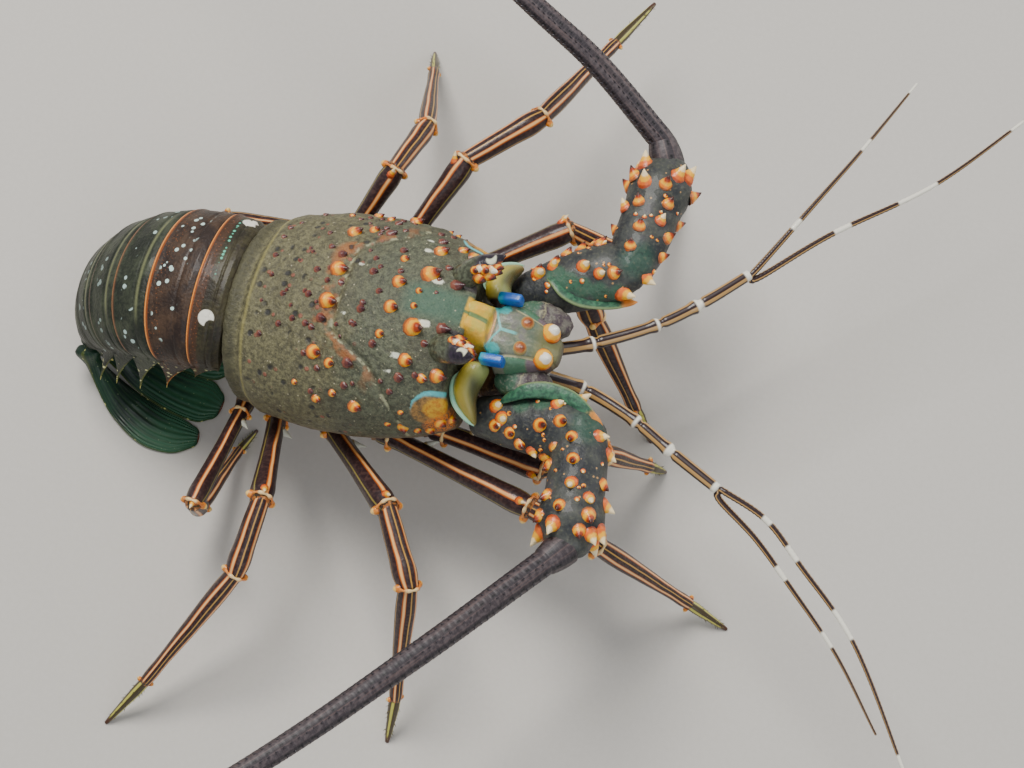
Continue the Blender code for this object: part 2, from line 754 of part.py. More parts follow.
# The left tip of each ring's side plate
PLEURON_TIPS = (
    (-13.0, 27.0, 36.0),
    (-23.5, 32.0, 30.5),
    (-34.0, 34.5, 28.0),
    (-44.0, 34.5, 27.0),
    (-51.5, 34.0, 24.0),
    (-50.5, 24.0, 20.5),
)
TAIL_POINTS = 17
CREST_STEPS = 60


def tail_crest(distance):
    """Crest point and downward turn of the tail at a distance from its start."""
    ends = np.concatenate([[0.0], np.cumsum([s[0] for s in SOMITES])])
    turns = np.radians(np.concatenate([[0.0], [s[1] for s in SOMITES]]))
    x, _, z = TAIL_START
    steps = np.linspace(0, distance, CREST_STEPS)
    angles = np.interp(steps, ends, turns)
    middle = (angles[1:] + angles[:-1]) / 2
    width = np.diff(steps)
    x -= float(np.sum(np.cos(middle) * width))
    z -= float(np.sum(np.sin(middle) * width))
    return np.array((x, 0.0, z)), float(np.interp(distance, ends, turns))


def tail_ring(distance, tip, share):
    """One section of the tail square to its crest; share is how far the side plates reach to their tips."""
    total = sum(somite_length for somite_length, _ in SOMITES)
    grid = np.concatenate([[0.0], np.cumsum([length for length, _ in SOMITES])]) / total
    half_width = np.interp(distance / total, grid, TAIL_HALF_WIDTHS)
    arch = np.interp(distance / total, grid, TAIL_ARCH)
    crest, turn = tail_crest(distance)
    inward = np.array((math.sin(turn), 0.0, -math.cos(turn)))
    across = np.array((0.0, 1.0, 0.0))
    ring = []
    for i in range(TAIL_POINTS):
        t = math.pi * i / (TAIL_POINTS - 1)
        ring.append(crest + inward * arch * (1 - math.sin(t)) - across * half_width * math.cos(t))
    hinge = crest + inward * arch + across * half_width
    reach = (np.array(tip) - hinge) * share
    left = (
        hinge + reach * 0.5 + inward * 0.9 + across * 0.4,
        hinge + reach + inward * 1.8 - across * 0.7,
        hinge + reach * 0.3 + inward * 1.5 - across * (0.12 * half_width),
        crest + inward * (arch + 1.0) + across * (0.45 * half_width),
    )
    ring.extend(left)
    ring.extend(point * (1, -1, 1) for point in reversed(left))
    return ring


FLAP_SHAPE = ((0.0, 0.0), (0.25, 0.4), (0.6, 1.0), (0.88, 0.4), (1.0, 0.0))


def somite(number):
    before = sum(s[0] for s in SOMITES[: number - 1])
    length = SOMITES[number - 1][0]
    rings = []
    for fraction, share in FLAP_SHAPE:
        distance = before + GAP / 2 + (length - GAP) * fraction
        rings.append(tail_ring(distance, PLEURON_TIPS[number - 1], share))
    return add_body(f"abdomen_{number}", "tail", rings)


# Tail fan: each plate's rows give the middle, the half width and the thickness
FAN_PLATES = {
    "telson": (
        ((-59, 0, 18.5), 9.0, 11.0),
        ((-58, 0, 12), 9.5, 10.0),
        ((-51, 0, 5.2), 9.7, 8.0),
        ((-40, 0, 2.2), 10.6, 4.8),
        ((-25, 0, 1.35), 13.3, 3.0),
        ((-14, 0, 0.95), 13.0, 2.2),
        ((-9, 0, 0.7), 9.0, 1.6),
    ),
    "inner": (
        ((-60, 13.6, 18.0), 3.8, 9.0),
        ((-57, 14.5, 11), 4.0, 8.0),
        ((-50, 15.8, 4.8), 5.2, 7.0),
        ((-40, 18.6, 1.8), 7.3, 4.0),
        ((-26, 22.2, 1.25), 8.2, 2.8),
        ((-15, 23.2, 0.85), 8.6, 2.0),
        ((-10, 23.6, 0.7), 6.0, 1.6),
    ),
    "outer": (
        ((-61.5, 20.5, 17.0), 1.9, 7.0),
        ((-59, 22.5, 10), 2.8, 6.0),
        ((-53, 27.0, 4.6), 4.6, 5.4),
        ((-43.5, 33.2, 1.7), 6.6, 3.8),
        ((-31, 38.7, 1.25), 7.9, 2.8),
        ((-21, 39.7, 0.85), 7.2, 2.0),
        ((-14.5, 38.6, 0.7), 4.4, 1.6),
    ),
}


# A plate's section: shares of its half width and of half its thickness
PLATE_SECTION = ((-1, -0.35), (-0.6, -1), (0.6, -1), (1, -0.35), (1, 0.1), (0.5, 1), (-0.5, 1), (-1, 0.1))


def fan_plate(name, rows, sign):
    """A thin plate, thicker along its middle; its lower face lies flat on the floor at its far part."""
    centres = np.array([row[0] for row in rows], float) * (1, sign, 1)
    rings = []
    for centre, along, (_, half_width, thickness) in zip(centres, tangents(centres), rows):
        side = np.array((0.0, 1.0, 0.0))
        side = unit(side - along * side.dot(along))
        up = unit(np.cross(along, side))
        up = up if up[2] > 0 or abs(up[2]) < 0.3 and up[0] > 0 else -up
        half = thickness / 2
        ring = []
        for across, above in PLATE_SECTION:
            ring.append(centre + side * half_width * across + up * half * above)
        rings.append([np.array((p[0], p[1], max(p[2], 0.0))) for p in ring])
    return add_body(name, "fan", rings)


def tail_fan():
    fan_plate("telson", FAN_PLATES["telson"], 1)
    for side_name, sign in (("left", 1), ("right", -1)):
        for plate in ("inner", "outer"):
            fan_plate(f"uropod_{side_name}_{plate}", FAN_PLATES[plate], sign)


# Mouthparts under the head
MOUTH_SECTIONS = (
    (82.0, 9.0, -45.0, -55.0),
    (90.0, 14.0, -38.5, -53.0),
    (97.0, 12.0, -35.0, -48.0),
    (103.0, 7.0, -35.0, -43.0),
)
MAXILLIPED = ((81, 8, -58.5), (92, 11, -57.5), (104, 11, -52.0), (110, 7, -45.0), (109, 3.5, -40.0))
MAXILLIPED_WIDTHS = (6.0, 6.4, 5.4, 4.2, 2.0)
MAXILLIPED_DEPTH = 1.2
MAXILLIPED_POINTS = 13
MAXILLIPED_SIDES = 8


def mouth():
    add_body("mouthparts", "underside", [rounded_ring(*s) for s in MOUTH_SECTIONS])
    for side_name, sign in (("left", 1), ("right", -1)):
        knots = [body_point(u, sign * v, w) for u, v, w in MAXILLIPED]
        path = smooth_path(knots, MAXILLIPED_POINTS)
        widths = spread(MAXILLIPED_WIDTHS, MAXILLIPED_POINTS)
        rings = tube(path, widths, widths * MAXILLIPED_DEPTH, (0, 1, 0), MAXILLIPED_SIDES)
        add_body(f"maxilliped_{side_name}", "leg", rings)


def main():
    clear_scene()
    carapace()
    sternum()
    head_front()
    mouth()
    for side_name, sign in (("left", 1), ("right", -1)):
        eye(f"eye_{side_name}", sign)
        antenna(side_name)
        antennule(side_name)
    for number in range(1, 7):
        somite(number)
    tail_fan()
    for name in LEG_POINTS:
        leg(name)


main()
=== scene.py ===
# %% [markdown]
# # A spiny lobster, life size
# The animal stands on its legs with its tail curled under and its two long antennae swept back.
# This lesson dresses the plain solids of the animal, part by part, in the finer skin, spines and
# colours of the real one. Lengths are in millimetres until the last moment, when they become metres.

# %% Load the solids
import math

import bmesh
import bpy
import numpy as np
from mathutils import Matrix, Vector


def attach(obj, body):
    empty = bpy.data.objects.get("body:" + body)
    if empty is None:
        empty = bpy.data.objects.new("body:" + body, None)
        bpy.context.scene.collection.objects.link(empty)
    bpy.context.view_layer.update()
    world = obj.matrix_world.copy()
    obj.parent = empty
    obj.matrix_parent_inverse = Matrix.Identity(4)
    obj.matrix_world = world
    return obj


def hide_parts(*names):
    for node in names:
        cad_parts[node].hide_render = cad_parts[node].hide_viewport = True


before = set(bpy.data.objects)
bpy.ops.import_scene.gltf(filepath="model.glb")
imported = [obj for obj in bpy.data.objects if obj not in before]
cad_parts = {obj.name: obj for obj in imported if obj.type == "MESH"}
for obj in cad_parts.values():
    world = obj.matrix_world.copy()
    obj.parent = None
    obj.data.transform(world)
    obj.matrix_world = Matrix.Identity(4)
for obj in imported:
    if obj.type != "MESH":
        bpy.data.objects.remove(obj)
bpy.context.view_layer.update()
print("solids:", len(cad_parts))

# %% [markdown]
# ## Two ways of saying where something is
# World points are in millimetres with x towards the head, y to the animal's left and z up. The body
# slopes up towards the head, so most parts are easier to place along it: how far forward of the
# shell's rear edge, how far to the left, and how far above the line of its crest.

# %% Places in the world and on the body
ORIGIN = np.array((71.5, -60.9, 0.0))
REAR_CREST_HEIGHT = 80.0
PITCH = math.radians(14.0)
SIDES = (("left", 1), ("right", -1))
UP = np.array((0.0, 0.0, 1.0))


def metres(points):
    return (np.asarray(points, float) - ORIGIN) / 1000


def on_body(along, across, above):
    along, across, above = np.broadcast_arrays(*(np.asarray(k, float) for k in (along, across, above)))
    x = along * math.cos(PITCH) - above * math.sin(PITCH)
    z = REAR_CREST_HEIGHT + along * math.sin(PITCH) + above * math.cos(PITCH)
    return np.stack((x, across, z), axis=-1)


def unit(vector):
    vector = np.asarray(vector, float)
    return vector / np.linalg.norm(vector, axis=-1, keepdims=True)


print("carapace starts at", on_body(0, 0, 0).round(1))

# %% [markdown]
# ## A smooth curve through a few numbers
# A shell is drawn with a few numbers, such as its half width at some places. A spline ruler bent
# round pins passes through every pin with no corner, and this helper does the same sum. It takes
# single numbers, points or whole rings of points as its pins.

# %% The spline ruler
def smooth(stations, pins, places):
    stations, pins, places = (np.asarray(k, float) for k in (stations, pins, places))
    slopes = np.gradient(pins, stations, axis=0)
    i = np.clip(np.searchsorted(stations, places, side="right") - 1, 0, len(stations) - 2)
    column = (-1,) + (1,) * (pins.ndim - 1)
    gap = (stations[i + 1] - stations[i]).reshape(column)
    t = ((places - stations[i]).reshape(column)) / gap
    start = (2 * t**3 - 3 * t**2 + 1) * pins[i] + (t**3 - 2 * t**2 + t) * gap * slopes[i]
    end = (3 * t**2 - 2 * t**3) * pins[i + 1] + (t**3 - t**2) * gap * slopes[i + 1]
    return start + end


def round_ring(ring, columns):
    """A closed ring of pins as a smooth ring of points, whose last is its first again."""
    ring = np.asarray(ring, float)
    count = len(ring)
    padded = np.concatenate((ring[-2:], ring, ring[:3]))
    return smooth(np.arange(-2, count + 3), padded, np.linspace(0, count, columns + 1))


# Straight steps, for each pin, in the walk along a curve
STEPS_PER_PIN = 24


def evenly(path, count):
    """Points at even steps along the smooth curve through a path's pins."""
    path = np.asarray(path, float)
    dense = smooth(np.arange(len(path)), path, np.linspace(0, len(path) - 1, STEPS_PER_PIN * len(path)))
    travelled = np.concatenate(([0], np.cumsum(np.linalg.norm(np.diff(dense, axis=0), axis=1))))
    wanted = np.linspace(0, travelled[-1], count)
    return np.stack([np.interp(wanted, travelled, dense[:, k]) for k in range(3)], axis=1)


def length_of(path):
    return np.linalg.norm(np.diff(path, axis=0), axis=1).sum()


print("ruler test:", smooth((0, 1, 2), (0, 1, 4), (0.5, 1.5)).round(2))

# %% [markdown]
# ## Wrapping a flat grid round a form
# A crab-like skin is one sheet without seams. A flat grid is laid out, every corner of it is moved
# to its place on the form, the two edges that meet are merged and the ends are filled. The grid's
# own UV map stays on it, so that a pattern can run along a limb or round it: U goes once round,
# and V is the length in centimetres.

# %% The wrapping tool
# Corners of two meeting edges that are closer than this, in metres, are merged
MERGE_WITHIN = 0.00001


def deselect():
    if bpy.context.object and bpy.context.object.mode != "OBJECT":
        bpy.ops.object.mode_set(mode="OBJECT")
    bpy.ops.object.select_all(action="DESELECT")


def corners(piece):
    flat = np.empty(len(piece.data.vertices) * 3, np.float32)
    piece.data.vertices.foreach_get("co", flat)
    return flat.reshape(-1, 3).astype(float)


def move_corners(piece, points):
    piece.data.vertices.foreach_set("co", np.asarray(points, np.float32).ravel())
    piece.data.update()


def set_uv(piece, change):
    """Passes the piece's UV map, as an array with a row for each face corner, through a function."""
    layer = piece.data.uv_layers.active or piece.data.uv_layers.new(name="UVMap")
    flat = np.empty(len(layer.data) * 2, np.float32)
    layer.data.foreach_get("uv", flat)
    layer.data.foreach_set("uv", np.asarray(change(flat.reshape(-1, 2)), np.float32).ravel())


def close_up(piece):
    bpy.ops.object.mode_set(mode="EDIT")
    bpy.ops.mesh.select_all(action="SELECT")
    bpy.ops.mesh.remove_doubles(threshold=MERGE_WITHIN)
    bpy.ops.mesh.fill_holes(sides=0)
    bpy.ops.mesh.select_all(action="SELECT")
    bpy.ops.mesh.normals_make_consistent(inside=False)
    bpy.ops.object.mode_set(mode="OBJECT")
    bpy.ops.object.shade_smooth()


def wrap(name, grid, cm):
    """Lays a grid primitive over a table of points (rows, columns, 3) in millimetres."""
    rows, columns = grid.shape[0] - 1, grid.shape[1] - 1
    deselect()
    bpy.ops.mesh.primitive_grid_add(x_subdivisions=columns, y_subdivisions=rows, size=1)
    piece = bpy.context.object
    piece.name = piece.data.name = name
    flat = corners(piece) + 0.5
    column = np.rint(flat[:, 0] * columns).astype(int)
    row = np.rint(flat[:, 1] * rows).astype(int)
    move_corners(piece, metres(grid[row, column]))
    set_uv(piece, lambda uv: uv * (1, cm))
    close_up(piece)
    return piece


def outward(grid):
    """The outward direction at every point of a wrapped grid."""
    down, round_it = np.gradient(grid, axis=0), np.gradient(grid, axis=1)
    way = np.cross(down, round_it)
    way = way / np.maximum(np.linalg.norm(way, axis=-1, keepdims=True), 1e-9)
    middle = grid.mean(axis=1, keepdims=True)
    return way * np.sign(np.sum(way * (grid - middle)))


def raised(grid, height):
    """A grid with every point moved outwards by its height."""
    return grid + outward(grid) * height[..., None]


def skin(name, rings, rows, columns, relief=None, stations=None):
    """A smooth closed skin over rough rings; relief gives each point's extra height."""
    rings = np.asarray(rings, float)
    stations = np.arange(len(rings)) if stations is None else np.asarray(stations, float)
    finer = np.stack([round_ring(ring, columns) for ring in rings])
    grid = smooth(stations, finer, np.linspace(stations[0], stations[-1], rows + 1))
    if relief:
        grid = raised(grid, relief(grid))
    return wrap(name, grid, length_of(grid.mean(axis=1)) / 10)


def finish(piece, paint, slot, *nodes):
    """Gives a piece its paint, hangs it from the root and hides the solids that it stands for."""
    piece.data.materials.clear()
    piece.data.materials.append(paint.material)
    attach(piece, "root")
    if nodes:
        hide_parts(*nodes)
    print(piece.name, len(piece.data.polygons), "faces")

# %% [markdown]
# ## Mixing paint
# Every colour here is worked out by nodes, with no pictures. The nodes are many, so one small class
# wraps a node's output and lets a pattern be written as a sum, and another holds the material
# and the few kinds of node that this animal needs.

# %% Sums on patterns
class Wire:
    def __init__(self, paint, socket):
        self.paint = paint
        self.socket = socket

    def maths(self, operation, first, second=0.0):
        return self.paint.node("ShaderNodeMath", {"operation": operation}, first, second)

    def __add__(self, other):
        return self.maths("ADD", self, other)

    def __sub__(self, other):
        return self.maths("SUBTRACT", self, other)

    def __rsub__(self, other):
        return self.maths("SUBTRACT", other, self)

    def __mul__(self, other):
        return self.maths("MULTIPLY", self, other)

    __radd__ = __add__
    __rmul__ = __mul__

    def size(self):
        return self.maths("ABSOLUTE", self)

    def part(self):
        return self.maths("FRACT", self)

    def least(self, other):
        return self.maths("MINIMUM", self, other)


class Paint:
    def __init__(self, name, **fixed):
        self.material = bpy.data.materials.new(name)
        self.material.use_nodes = True
        self.tree = self.material.node_tree
        self.shader = self.tree.nodes["Principled BSDF"]
        for socket, value in fixed.items():
            self.shader.inputs[socket.replace("_", " ")].default_value = value

    def join(self, value, socket):
        if isinstance(value, Wire):
            self.tree.links.new(value.socket, socket)
        elif isinstance(value, tuple) and len(value) == 3 and len(socket.default_value) == 4:
            socket.default_value = (*value, 1.0)
        else:
            socket.default_value = value

    def node(self, kind, settings, *values, out=0, **named):
        new = self.tree.nodes.new(kind)
        for key, value in settings.items():
            setattr(new, key, value)
        for socket, value in zip(new.inputs, values):
            self.join(value, socket)
        for key, value in named.items():
            self.join(value, new.inputs[key.replace("_", " ")])
        return Wire(self, new.outputs[out])

    def spot(self):
        """Object coordinates in millimetres."""
        here = self.node("ShaderNodeTexCoord", {}, out="Object")
        return self.node("ShaderNodeVectorMath", {"operation": "SCALE"}, here, Scale=1000.0)

    def body(self):
        """Places along, across and above the body, in millimetres."""
        here = self.node("ShaderNodeTexCoord", {}, out="Object")
        start = tuple(metres((0.0, 0.0, REAR_CREST_HEIGHT)))
        turned = {"Location": start, "Rotation": (0.0, -PITCH, 0.0), "Scale": (0.001, 0.001, 0.001)}
        return self.node("ShaderNodeMapping", {"vector_type": "TEXTURE"}, here, **turned)

    def uv(self):
        return self.node("ShaderNodeTexCoord", {}, out="UV")

    def split(self, vector):
        return [self.node("ShaderNodeSeparateXYZ", {}, vector, out=k) for k in range(3)]

    def point(self, x, y, z=0.0):
        return self.node("ShaderNodeCombineXYZ", {}, x, y, z)

    def noise(self, where, scale, detail=2.0, rough=0.5):
        return self.node("ShaderNodeTexNoise", {}, Vector=where, Scale=scale, Detail=detail, Roughness=rough)

    def cells(self, where, scale, spread=1.0):
        """The distance to the nearest of many scattered points."""
        return self.node("ShaderNodeTexVoronoi", {}, Vector=where, Scale=scale, Randomness=spread)

    def rise(self, value, low, high):
        """0 below low and 1 above high, with a soft step between; high may be the lower one."""
        soft = {"interpolation_type": "SMOOTHSTEP"}
        if low < high:
            return self.node("ShaderNodeMapRange", soft, value, low, high, 0.0, 1.0)
        return self.node("ShaderNodeMapRange", soft, value, high, low, 1.0, 0.0)

    def dots(self, where, scale, rim, full, spread=1.0):
        """1 near each of many scattered points, fading from the distance full to the distance rim."""
        return self.rise(self.cells(where, scale, spread), rim, full)

    def near(self, where, centre, reach, soft=1.0):
        """1 within reach of a point, fading to 0."""
        gap = self.node("ShaderNodeVectorMath", {"operation": "DISTANCE"}, where, centre, out="Value")
        return self.rise(gap, reach + soft / 2, reach - soft / 2)

    def line(self, value, centre, half_width, soft=0.5):
        """1 where a value is within half a width of its centre."""
        return self.rise((value - centre).size(), half_width + soft / 2, half_width - soft / 2)

    def crescent(self, where, disc, disc_size, bite, bite_size, soft):
        """A disc with a bite out of it."""
        whole = self.near(where, disc, disc_size, soft)
        return whole * (1.0 - self.near(where, bite, bite_size, soft))

    def mix(self, share, under, over):
        new = self.tree.nodes.new("ShaderNodeMix")
        new.data_type = "RGBA"
        self.join(share, new.inputs[0])
        self.join(under, new.inputs[6])
        self.join(over, new.inputs[7])
        return Wire(self, new.outputs[2])

    def tones(self, pattern, low, high, under, over):
        """One colour where a pattern is low and another where it is high."""
        return self.mix(self.rise(pattern, low, high), under, over)

    def coats(self, colour, *coats):
        """Coats over a ground, one after another, each given as its share and its colour."""
        for share, over in coats:
            colour = self.mix(share, colour, over)
        return colour

    def finish(self, colour, roughness=None, bump=None, height=0.3):
        """Joins the patterns to the shader; height is the bump's in millimetres."""
        self.join(colour, self.shader.inputs["Base Color"])
        if roughness is not None:
            self.join(roughness, self.shader.inputs["Roughness"])
        if bump is not None:
            normal = self.node("ShaderNodeBump", {}, Strength=1.0, Distance=height / 1000, Height=bump)
            self.join(normal, self.shader.inputs["Normal"])
        return self


def rgb(red, green, blue):
    """A colour given as it looks on a screen, 0 to 255, as the linear light that a shader takes."""
    shares = (k / 255 for k in (red, green, blue))
    return tuple(k / 12.92 if k < 0.04045 else ((k + 0.055) / 1.055) ** 2.4 for k in shares)


print("khaki in linear light:", [round(k, 3) for k in rgb(120, 115, 85)])

# %% [markdown]
# ## The carapace
# The carapace is the one great shield over the head and chest. It is drawn as a row of sections,
# each a half ellipse over the back with flanks folding under, and skinned in one sheet. Its relief
# is what the real shell has: a rounded rim with a furrow behind, a neck groove that bends forward
# at the sides, and low granules all over.

# %% The carapace's skin
# Place along it, half width, crest above the crest line, crest to widest level, lower edge
CARAPACE_SECTIONS = np.array((
    (0.3, 33.0, 0.0, 27.0, -42.0),
    (3.0, 34.6, 0.6, 27.5, -43.0),
    (6.0, 35.2, 0.4, 28.0, -43.5),
    (9.0, 37.2, 1.6, 28.5, -44.0),
    (16.0, 39.0, 2.4, 29.0, -44.0),
    (25.0, 40.5, 3.5, 29.0, -44.0),
    (34.0, 41.3, 4.4, 29.0, -44.0),
    (42.0, 41.2, 4.2, 29.0, -44.0),
    (50.0, 41.2, 4.6, 29.0, -44.0),
    (60.0, 40.0, 4.8, 29.0, -43.5),
    (70.0, 38.0, 4.2, 28.5, -43.0),
    (79.0, 35.0, 3.0, 28.0, -41.5),
    (85.0, 32.5, 1.3, 27.0, -39.8),
    (90.7, 29.0, -2.5, 24.5, -37.0),
))
FLANK = ((1.0, 0.35), (0.95, 0.7), (0.84, 1.0), (0.74, 0.93), (0.4, 0.86))
ARCH_PINS = 21
EYE_NOTCH = 4.2


def carapace_ring(section):
    """One section: over the back from right to left, then down, under and up again."""
    along, half_width, crest, drop, low = section
    level = crest - drop
    turns = np.linspace(0, math.pi, ARCH_PINS)
    ring = [(along, -half_width * math.cos(t), level + drop * math.sin(t)) for t in turns]
    left = [(along, half_width * across, level + (low - level) * depth) for across, depth in FLANK]
    right = [(along, -across, above) for along, across, above in reversed(left)]
    return np.array(ring + left + right)


def drawn_in(ring, share, forward):
    """A ring shrunk about its middle and moved along the body, to round off an end."""
    middle = ring.mean(axis=0)
    return middle + (ring - middle) * share + (forward, 0, 0)


def carapace_rings():
    rings = [carapace_ring(section) for section in CARAPACE_SECTIONS]
    front = rings[-1]
    notch = EYE_NOTCH * np.clip((abs(front[:, 1]) - 10) / 6, 0, 1)
    rings[-1] = front - notch[:, None] * (1, 0, 0)
    rear = [drawn_in(rings[0], 0.4, 1.5), drawn_in(rings[0], 0.95, 0.0)]
    tip = [drawn_in(rings[-1], 0.9, -0.4), drawn_in(rings[-1], 0.46, -0.2)]
    stations = [-2.0, -0.3, *CARAPACE_SECTIONS[:, 0], 92.5, 99.0]
    return [on_body(*ring.T) for ring in rear + rings + tip], stations


def body_places(points):
    """The way back from world points to places along, across and above the body."""
    x, across, z = points[..., 0], points[..., 1], points[..., 2] - REAR_CREST_HEIGHT
    along = x * math.cos(PITCH) + z * math.sin(PITCH)
    return along, across, z * math.cos(PITCH) - x * math.sin(PITCH)


NECK_GROOVE = ((0, 43.5), (16, 43.5), (24.6, 58.5), (28.7, 62.5), (36, 68), (42, 74))
RIM_FURROW = 6.0


def hump(value, centre, half_width):
    """A bell that is 1 at its centre."""
    return np.exp(-(((value - centre) / half_width) ** 2))


def carapace_relief(grid):
    """The neck groove and the ridge behind it, the rim and its furrow, and the midline's seam."""
    along, across, above = body_places(grid)
    groove_at = np.interp(abs(across), *np.array(NECK_GROOVE).T)
    upper = np.clip((above + 36) / 10, 0, 1)
    height = -0.8 * hump(along, groove_at, 1.5) * upper
    height += 0.45 * hump(along, groove_at - 3.2, 2.2) * upper
    height += 0.5 * hump(along, 2.4, 1.2) - 0.5 * hump(along, RIM_FURROW, 1.3)
    height -= 0.5 * hump(across, 0, 1.0) * np.clip((along - 9) / 4, 0, 1) * np.clip((42 - along) / 4, 0, 1)
    return height


def raise_granules(piece, height, grain):
    """Low bumps by a Displace modifier on a procedural texture, then applied."""
    texture = bpy.data.textures.new("granules", "VORONOI")
    texture.noise_scale = grain / 1000
    deselect()
    piece.select_set(True)
    bpy.context.view_layer.objects.active = piece
    bpy.ops.object.modifier_add(type="DISPLACE")
    change = piece.modifiers[-1]
    change.texture = texture
    change.strength = height / 1000
    change.mid_level = 0.5
    bpy.ops.object.modifier_apply(modifier=change.name)


CARAPACE_ROWS, CARAPACE_COLUMNS = 230, 240
rings, stations = carapace_rings()
carapace = skin("carapace_skin", rings, CARAPACE_ROWS, CARAPACE_COLUMNS, carapace_relief, stations)
raise_granules(carapace, -0.5, 4.2)
print("carapace:", len(carapace.data.vertices), "points")

# %% [markdown]
# ## The carapace's colours
# The real shell is a mottled olive grey with many dark pits, greener towards the head and warmer
# along the neck groove. The patterns read places along the body, so the pits stay round and
# the pale lines lie on the rim and in the groove. Every coat is a share, from 0 to 1, and a colour,
# and each small function below gives the coats of one kind of marking.

# %% Colours that several parts share
ORANGE = rgb(234, 124, 6)
AMBER = rgb(250, 182, 34)
RED = rgb(160, 56, 14)
HORN_DARK = rgb(70, 30, 22)
MAROON = rgb(96, 48, 44)
SAGE = rgb(92, 98, 78)
WHITE = rgb(240, 236, 220)

# %% The carapace's markings
DARK_OLIVE, KHAKI = rgb(78, 75, 54), rgb(116, 112, 80)
PIT = rgb(30, 31, 36)
TEAL = rgb(62, 104, 84)
CREAM = rgb(214, 204, 170)
RIM_PALE, RIM_SHADE = rgb(150, 142, 84), rgb(58, 56, 36)
WARM = rgb(168, 98, 44)
GOLD = rgb(224, 174, 40)
TURQUOISE = rgb(98, 196, 200)
# White patches: place along the body, distance from the midline, level, radius
WHITE_PATCHES = (
    (77.6, 8.4, 2.2, 1.3), (69.6, 20.9, -0.4, 1.0), (67.9, 26.0, -3.3, 0.6), (47.9, 9.9, 3.6, 0.5),
    (54.0, 37.8, -10.4, 0.9), (59.0, 35.0, -7.5, 0.6),
)
PATCH_STRETCH = 0.6
PIT_SCALE, PIT_SPREAD = 0.185, 0.75
# Middles of the cheek's bright patch: its turquoise arc, its tan ring, its gold spot and the orange below
CHEEK_ARC, CHEEK_TAN, CHEEK_GOLD = (82.2, 31.5, -16.5), (81.4, 31.9, -17.8), (83.6, 31.2, -17.4)
CHEEK_BELOW = (84.0, 33.0, -27.0)


def shell_mottling(paint, here, along, fine, mottle):
    """Green towards the head, dull clouds, and fine light and dark grain."""
    cloud = paint.noise(here, 0.07, 3.0)
    forward = paint.rise(along + cloud * 26.0, 52.0, 70.0)
    shade = paint.rise(cloud, 0.52, 0.62) * paint.rise(along, 14.0, 22.0)
    return (
        (forward * 0.85, paint.tones(mottle, 0.35, 0.65, rgb(62, 66, 52), SAGE)),
        (shade * 0.4, rgb(70, 66, 50)),
        (paint.rise(fine, 0.55, 0.75) * 0.55, rgb(158, 152, 118)),
        (paint.rise(fine, 0.44, 0.28) * 0.6, rgb(48, 44, 36)),
    )


def groove_coats(paint, here, along, side):
    """Warm and pale colour in patches along the neck groove, and teal on the midline before it."""
    groove_at = 43.5 + paint.rise(side, 15.0, 30.0) * 19.0 + paint.rise(side, 28.0, 44.0) * 12.0
    away = along - groove_at
    patch = paint.rise(paint.noise(here, 0.16, 2.0), 0.46, 0.6)
    behind = paint.line(away, -3.5, 3.5, 4.0) * patch * paint.rise(side, 36.0, 24.0)
    broken = paint.rise(paint.noise(here, 0.3, 2.0), 0.5, 0.6)
    central = paint.rise(side, 9.0, 3.0) * paint.rise(along, 64.0, 74.0)
    return (
        (behind * 0.65, WARM),
        (paint.line(away, 0.4, 0.8, 1.6) * broken * 0.7, rgb(176, 178, 140)),
        (central * 0.65, TEAL),
    )


def pits_and_grain(paint, here, along):
    """Dark pits on the rear half, each with a warm granule beside it, then grain and pale flecks."""
    beside = paint.node("ShaderNodeVectorMath", {"operation": "ADD"}, here, (-2.3, 0.6, -0.4))
    granules = paint.dots(beside, PIT_SCALE, 0.2, 0.11, PIT_SPREAD)
    wanted = paint.rise(paint.noise(here, 0.13, 1.0), 0.36, 0.48)
    rear_half = paint.rise(along, 60.0, 44.0) * paint.rise(along, 9.5, 12.0)
    pits = paint.dots(here, PIT_SCALE, 0.29, 0.13, PIT_SPREAD) * wanted * rear_half
    grain = paint.cells(here, 0.85)
    coats = (
        (pits * 0.85, PIT),
        (granules * wanted * rear_half * 0.75, rgb(150, 84, 66)),
        (paint.rise(grain, 0.3, 0.1) * 0.35, PIT),
        (paint.dots(here, 0.33, 0.12, 0.07) * 0.5 * paint.rise(along, 10.0, 14.0), CREAM),
    )
    return coats, pits, granules * rear_half, grain


def white_patches(paint, here, along, side, above):
    """Patches with wavy edges, longer along the body than across it."""
    wobble = paint.noise(here, 0.5, 3.0, 0.7) * 3.0
    stretched = paint.point(along * PATCH_STRETCH + wobble, side, above)
    coats = []
    for place, across, level, radius in WHITE_PATCHES:
        centre = (place * PATCH_STRETCH + 1.5, across, level)
        coats.append((paint.near(stretched, centre, radius, 0.7), rgb(226, 228, 206)))
    return coats


def cheek_coats(paint, along, side, above, ragged, fine, mottle):
    """The bright patch at each front corner: turquoise round tan and gold, with orange below."""
    loose = paint.point(along + ragged, side + ragged * 0.6, above)
    arc = paint.near(loose, CHEEK_ARC, 7.4, 0.7) * paint.rise(above, -17.5, -15.0)
    tan = paint.tones(mottle, 0.35, 0.6, rgb(104, 84, 50), rgb(166, 124, 66))
    gold = paint.tones(mottle, 0.35, 0.6, rgb(206, 130, 26), GOLD)
    lower = paint.near(paint.point(along, side, above), CHEEK_BELOW, 6.5, 3.5) * paint.rise(fine, 0.4, 0.55)
    return (
        (arc, TURQUOISE),
        (paint.near(loose, CHEEK_TAN, 6.9, 1.4), tan),
        (paint.near(loose, CHEEK_GOLD, 4.6, 1.8), gold),
        (lower * 0.8, ORANGE),
    )


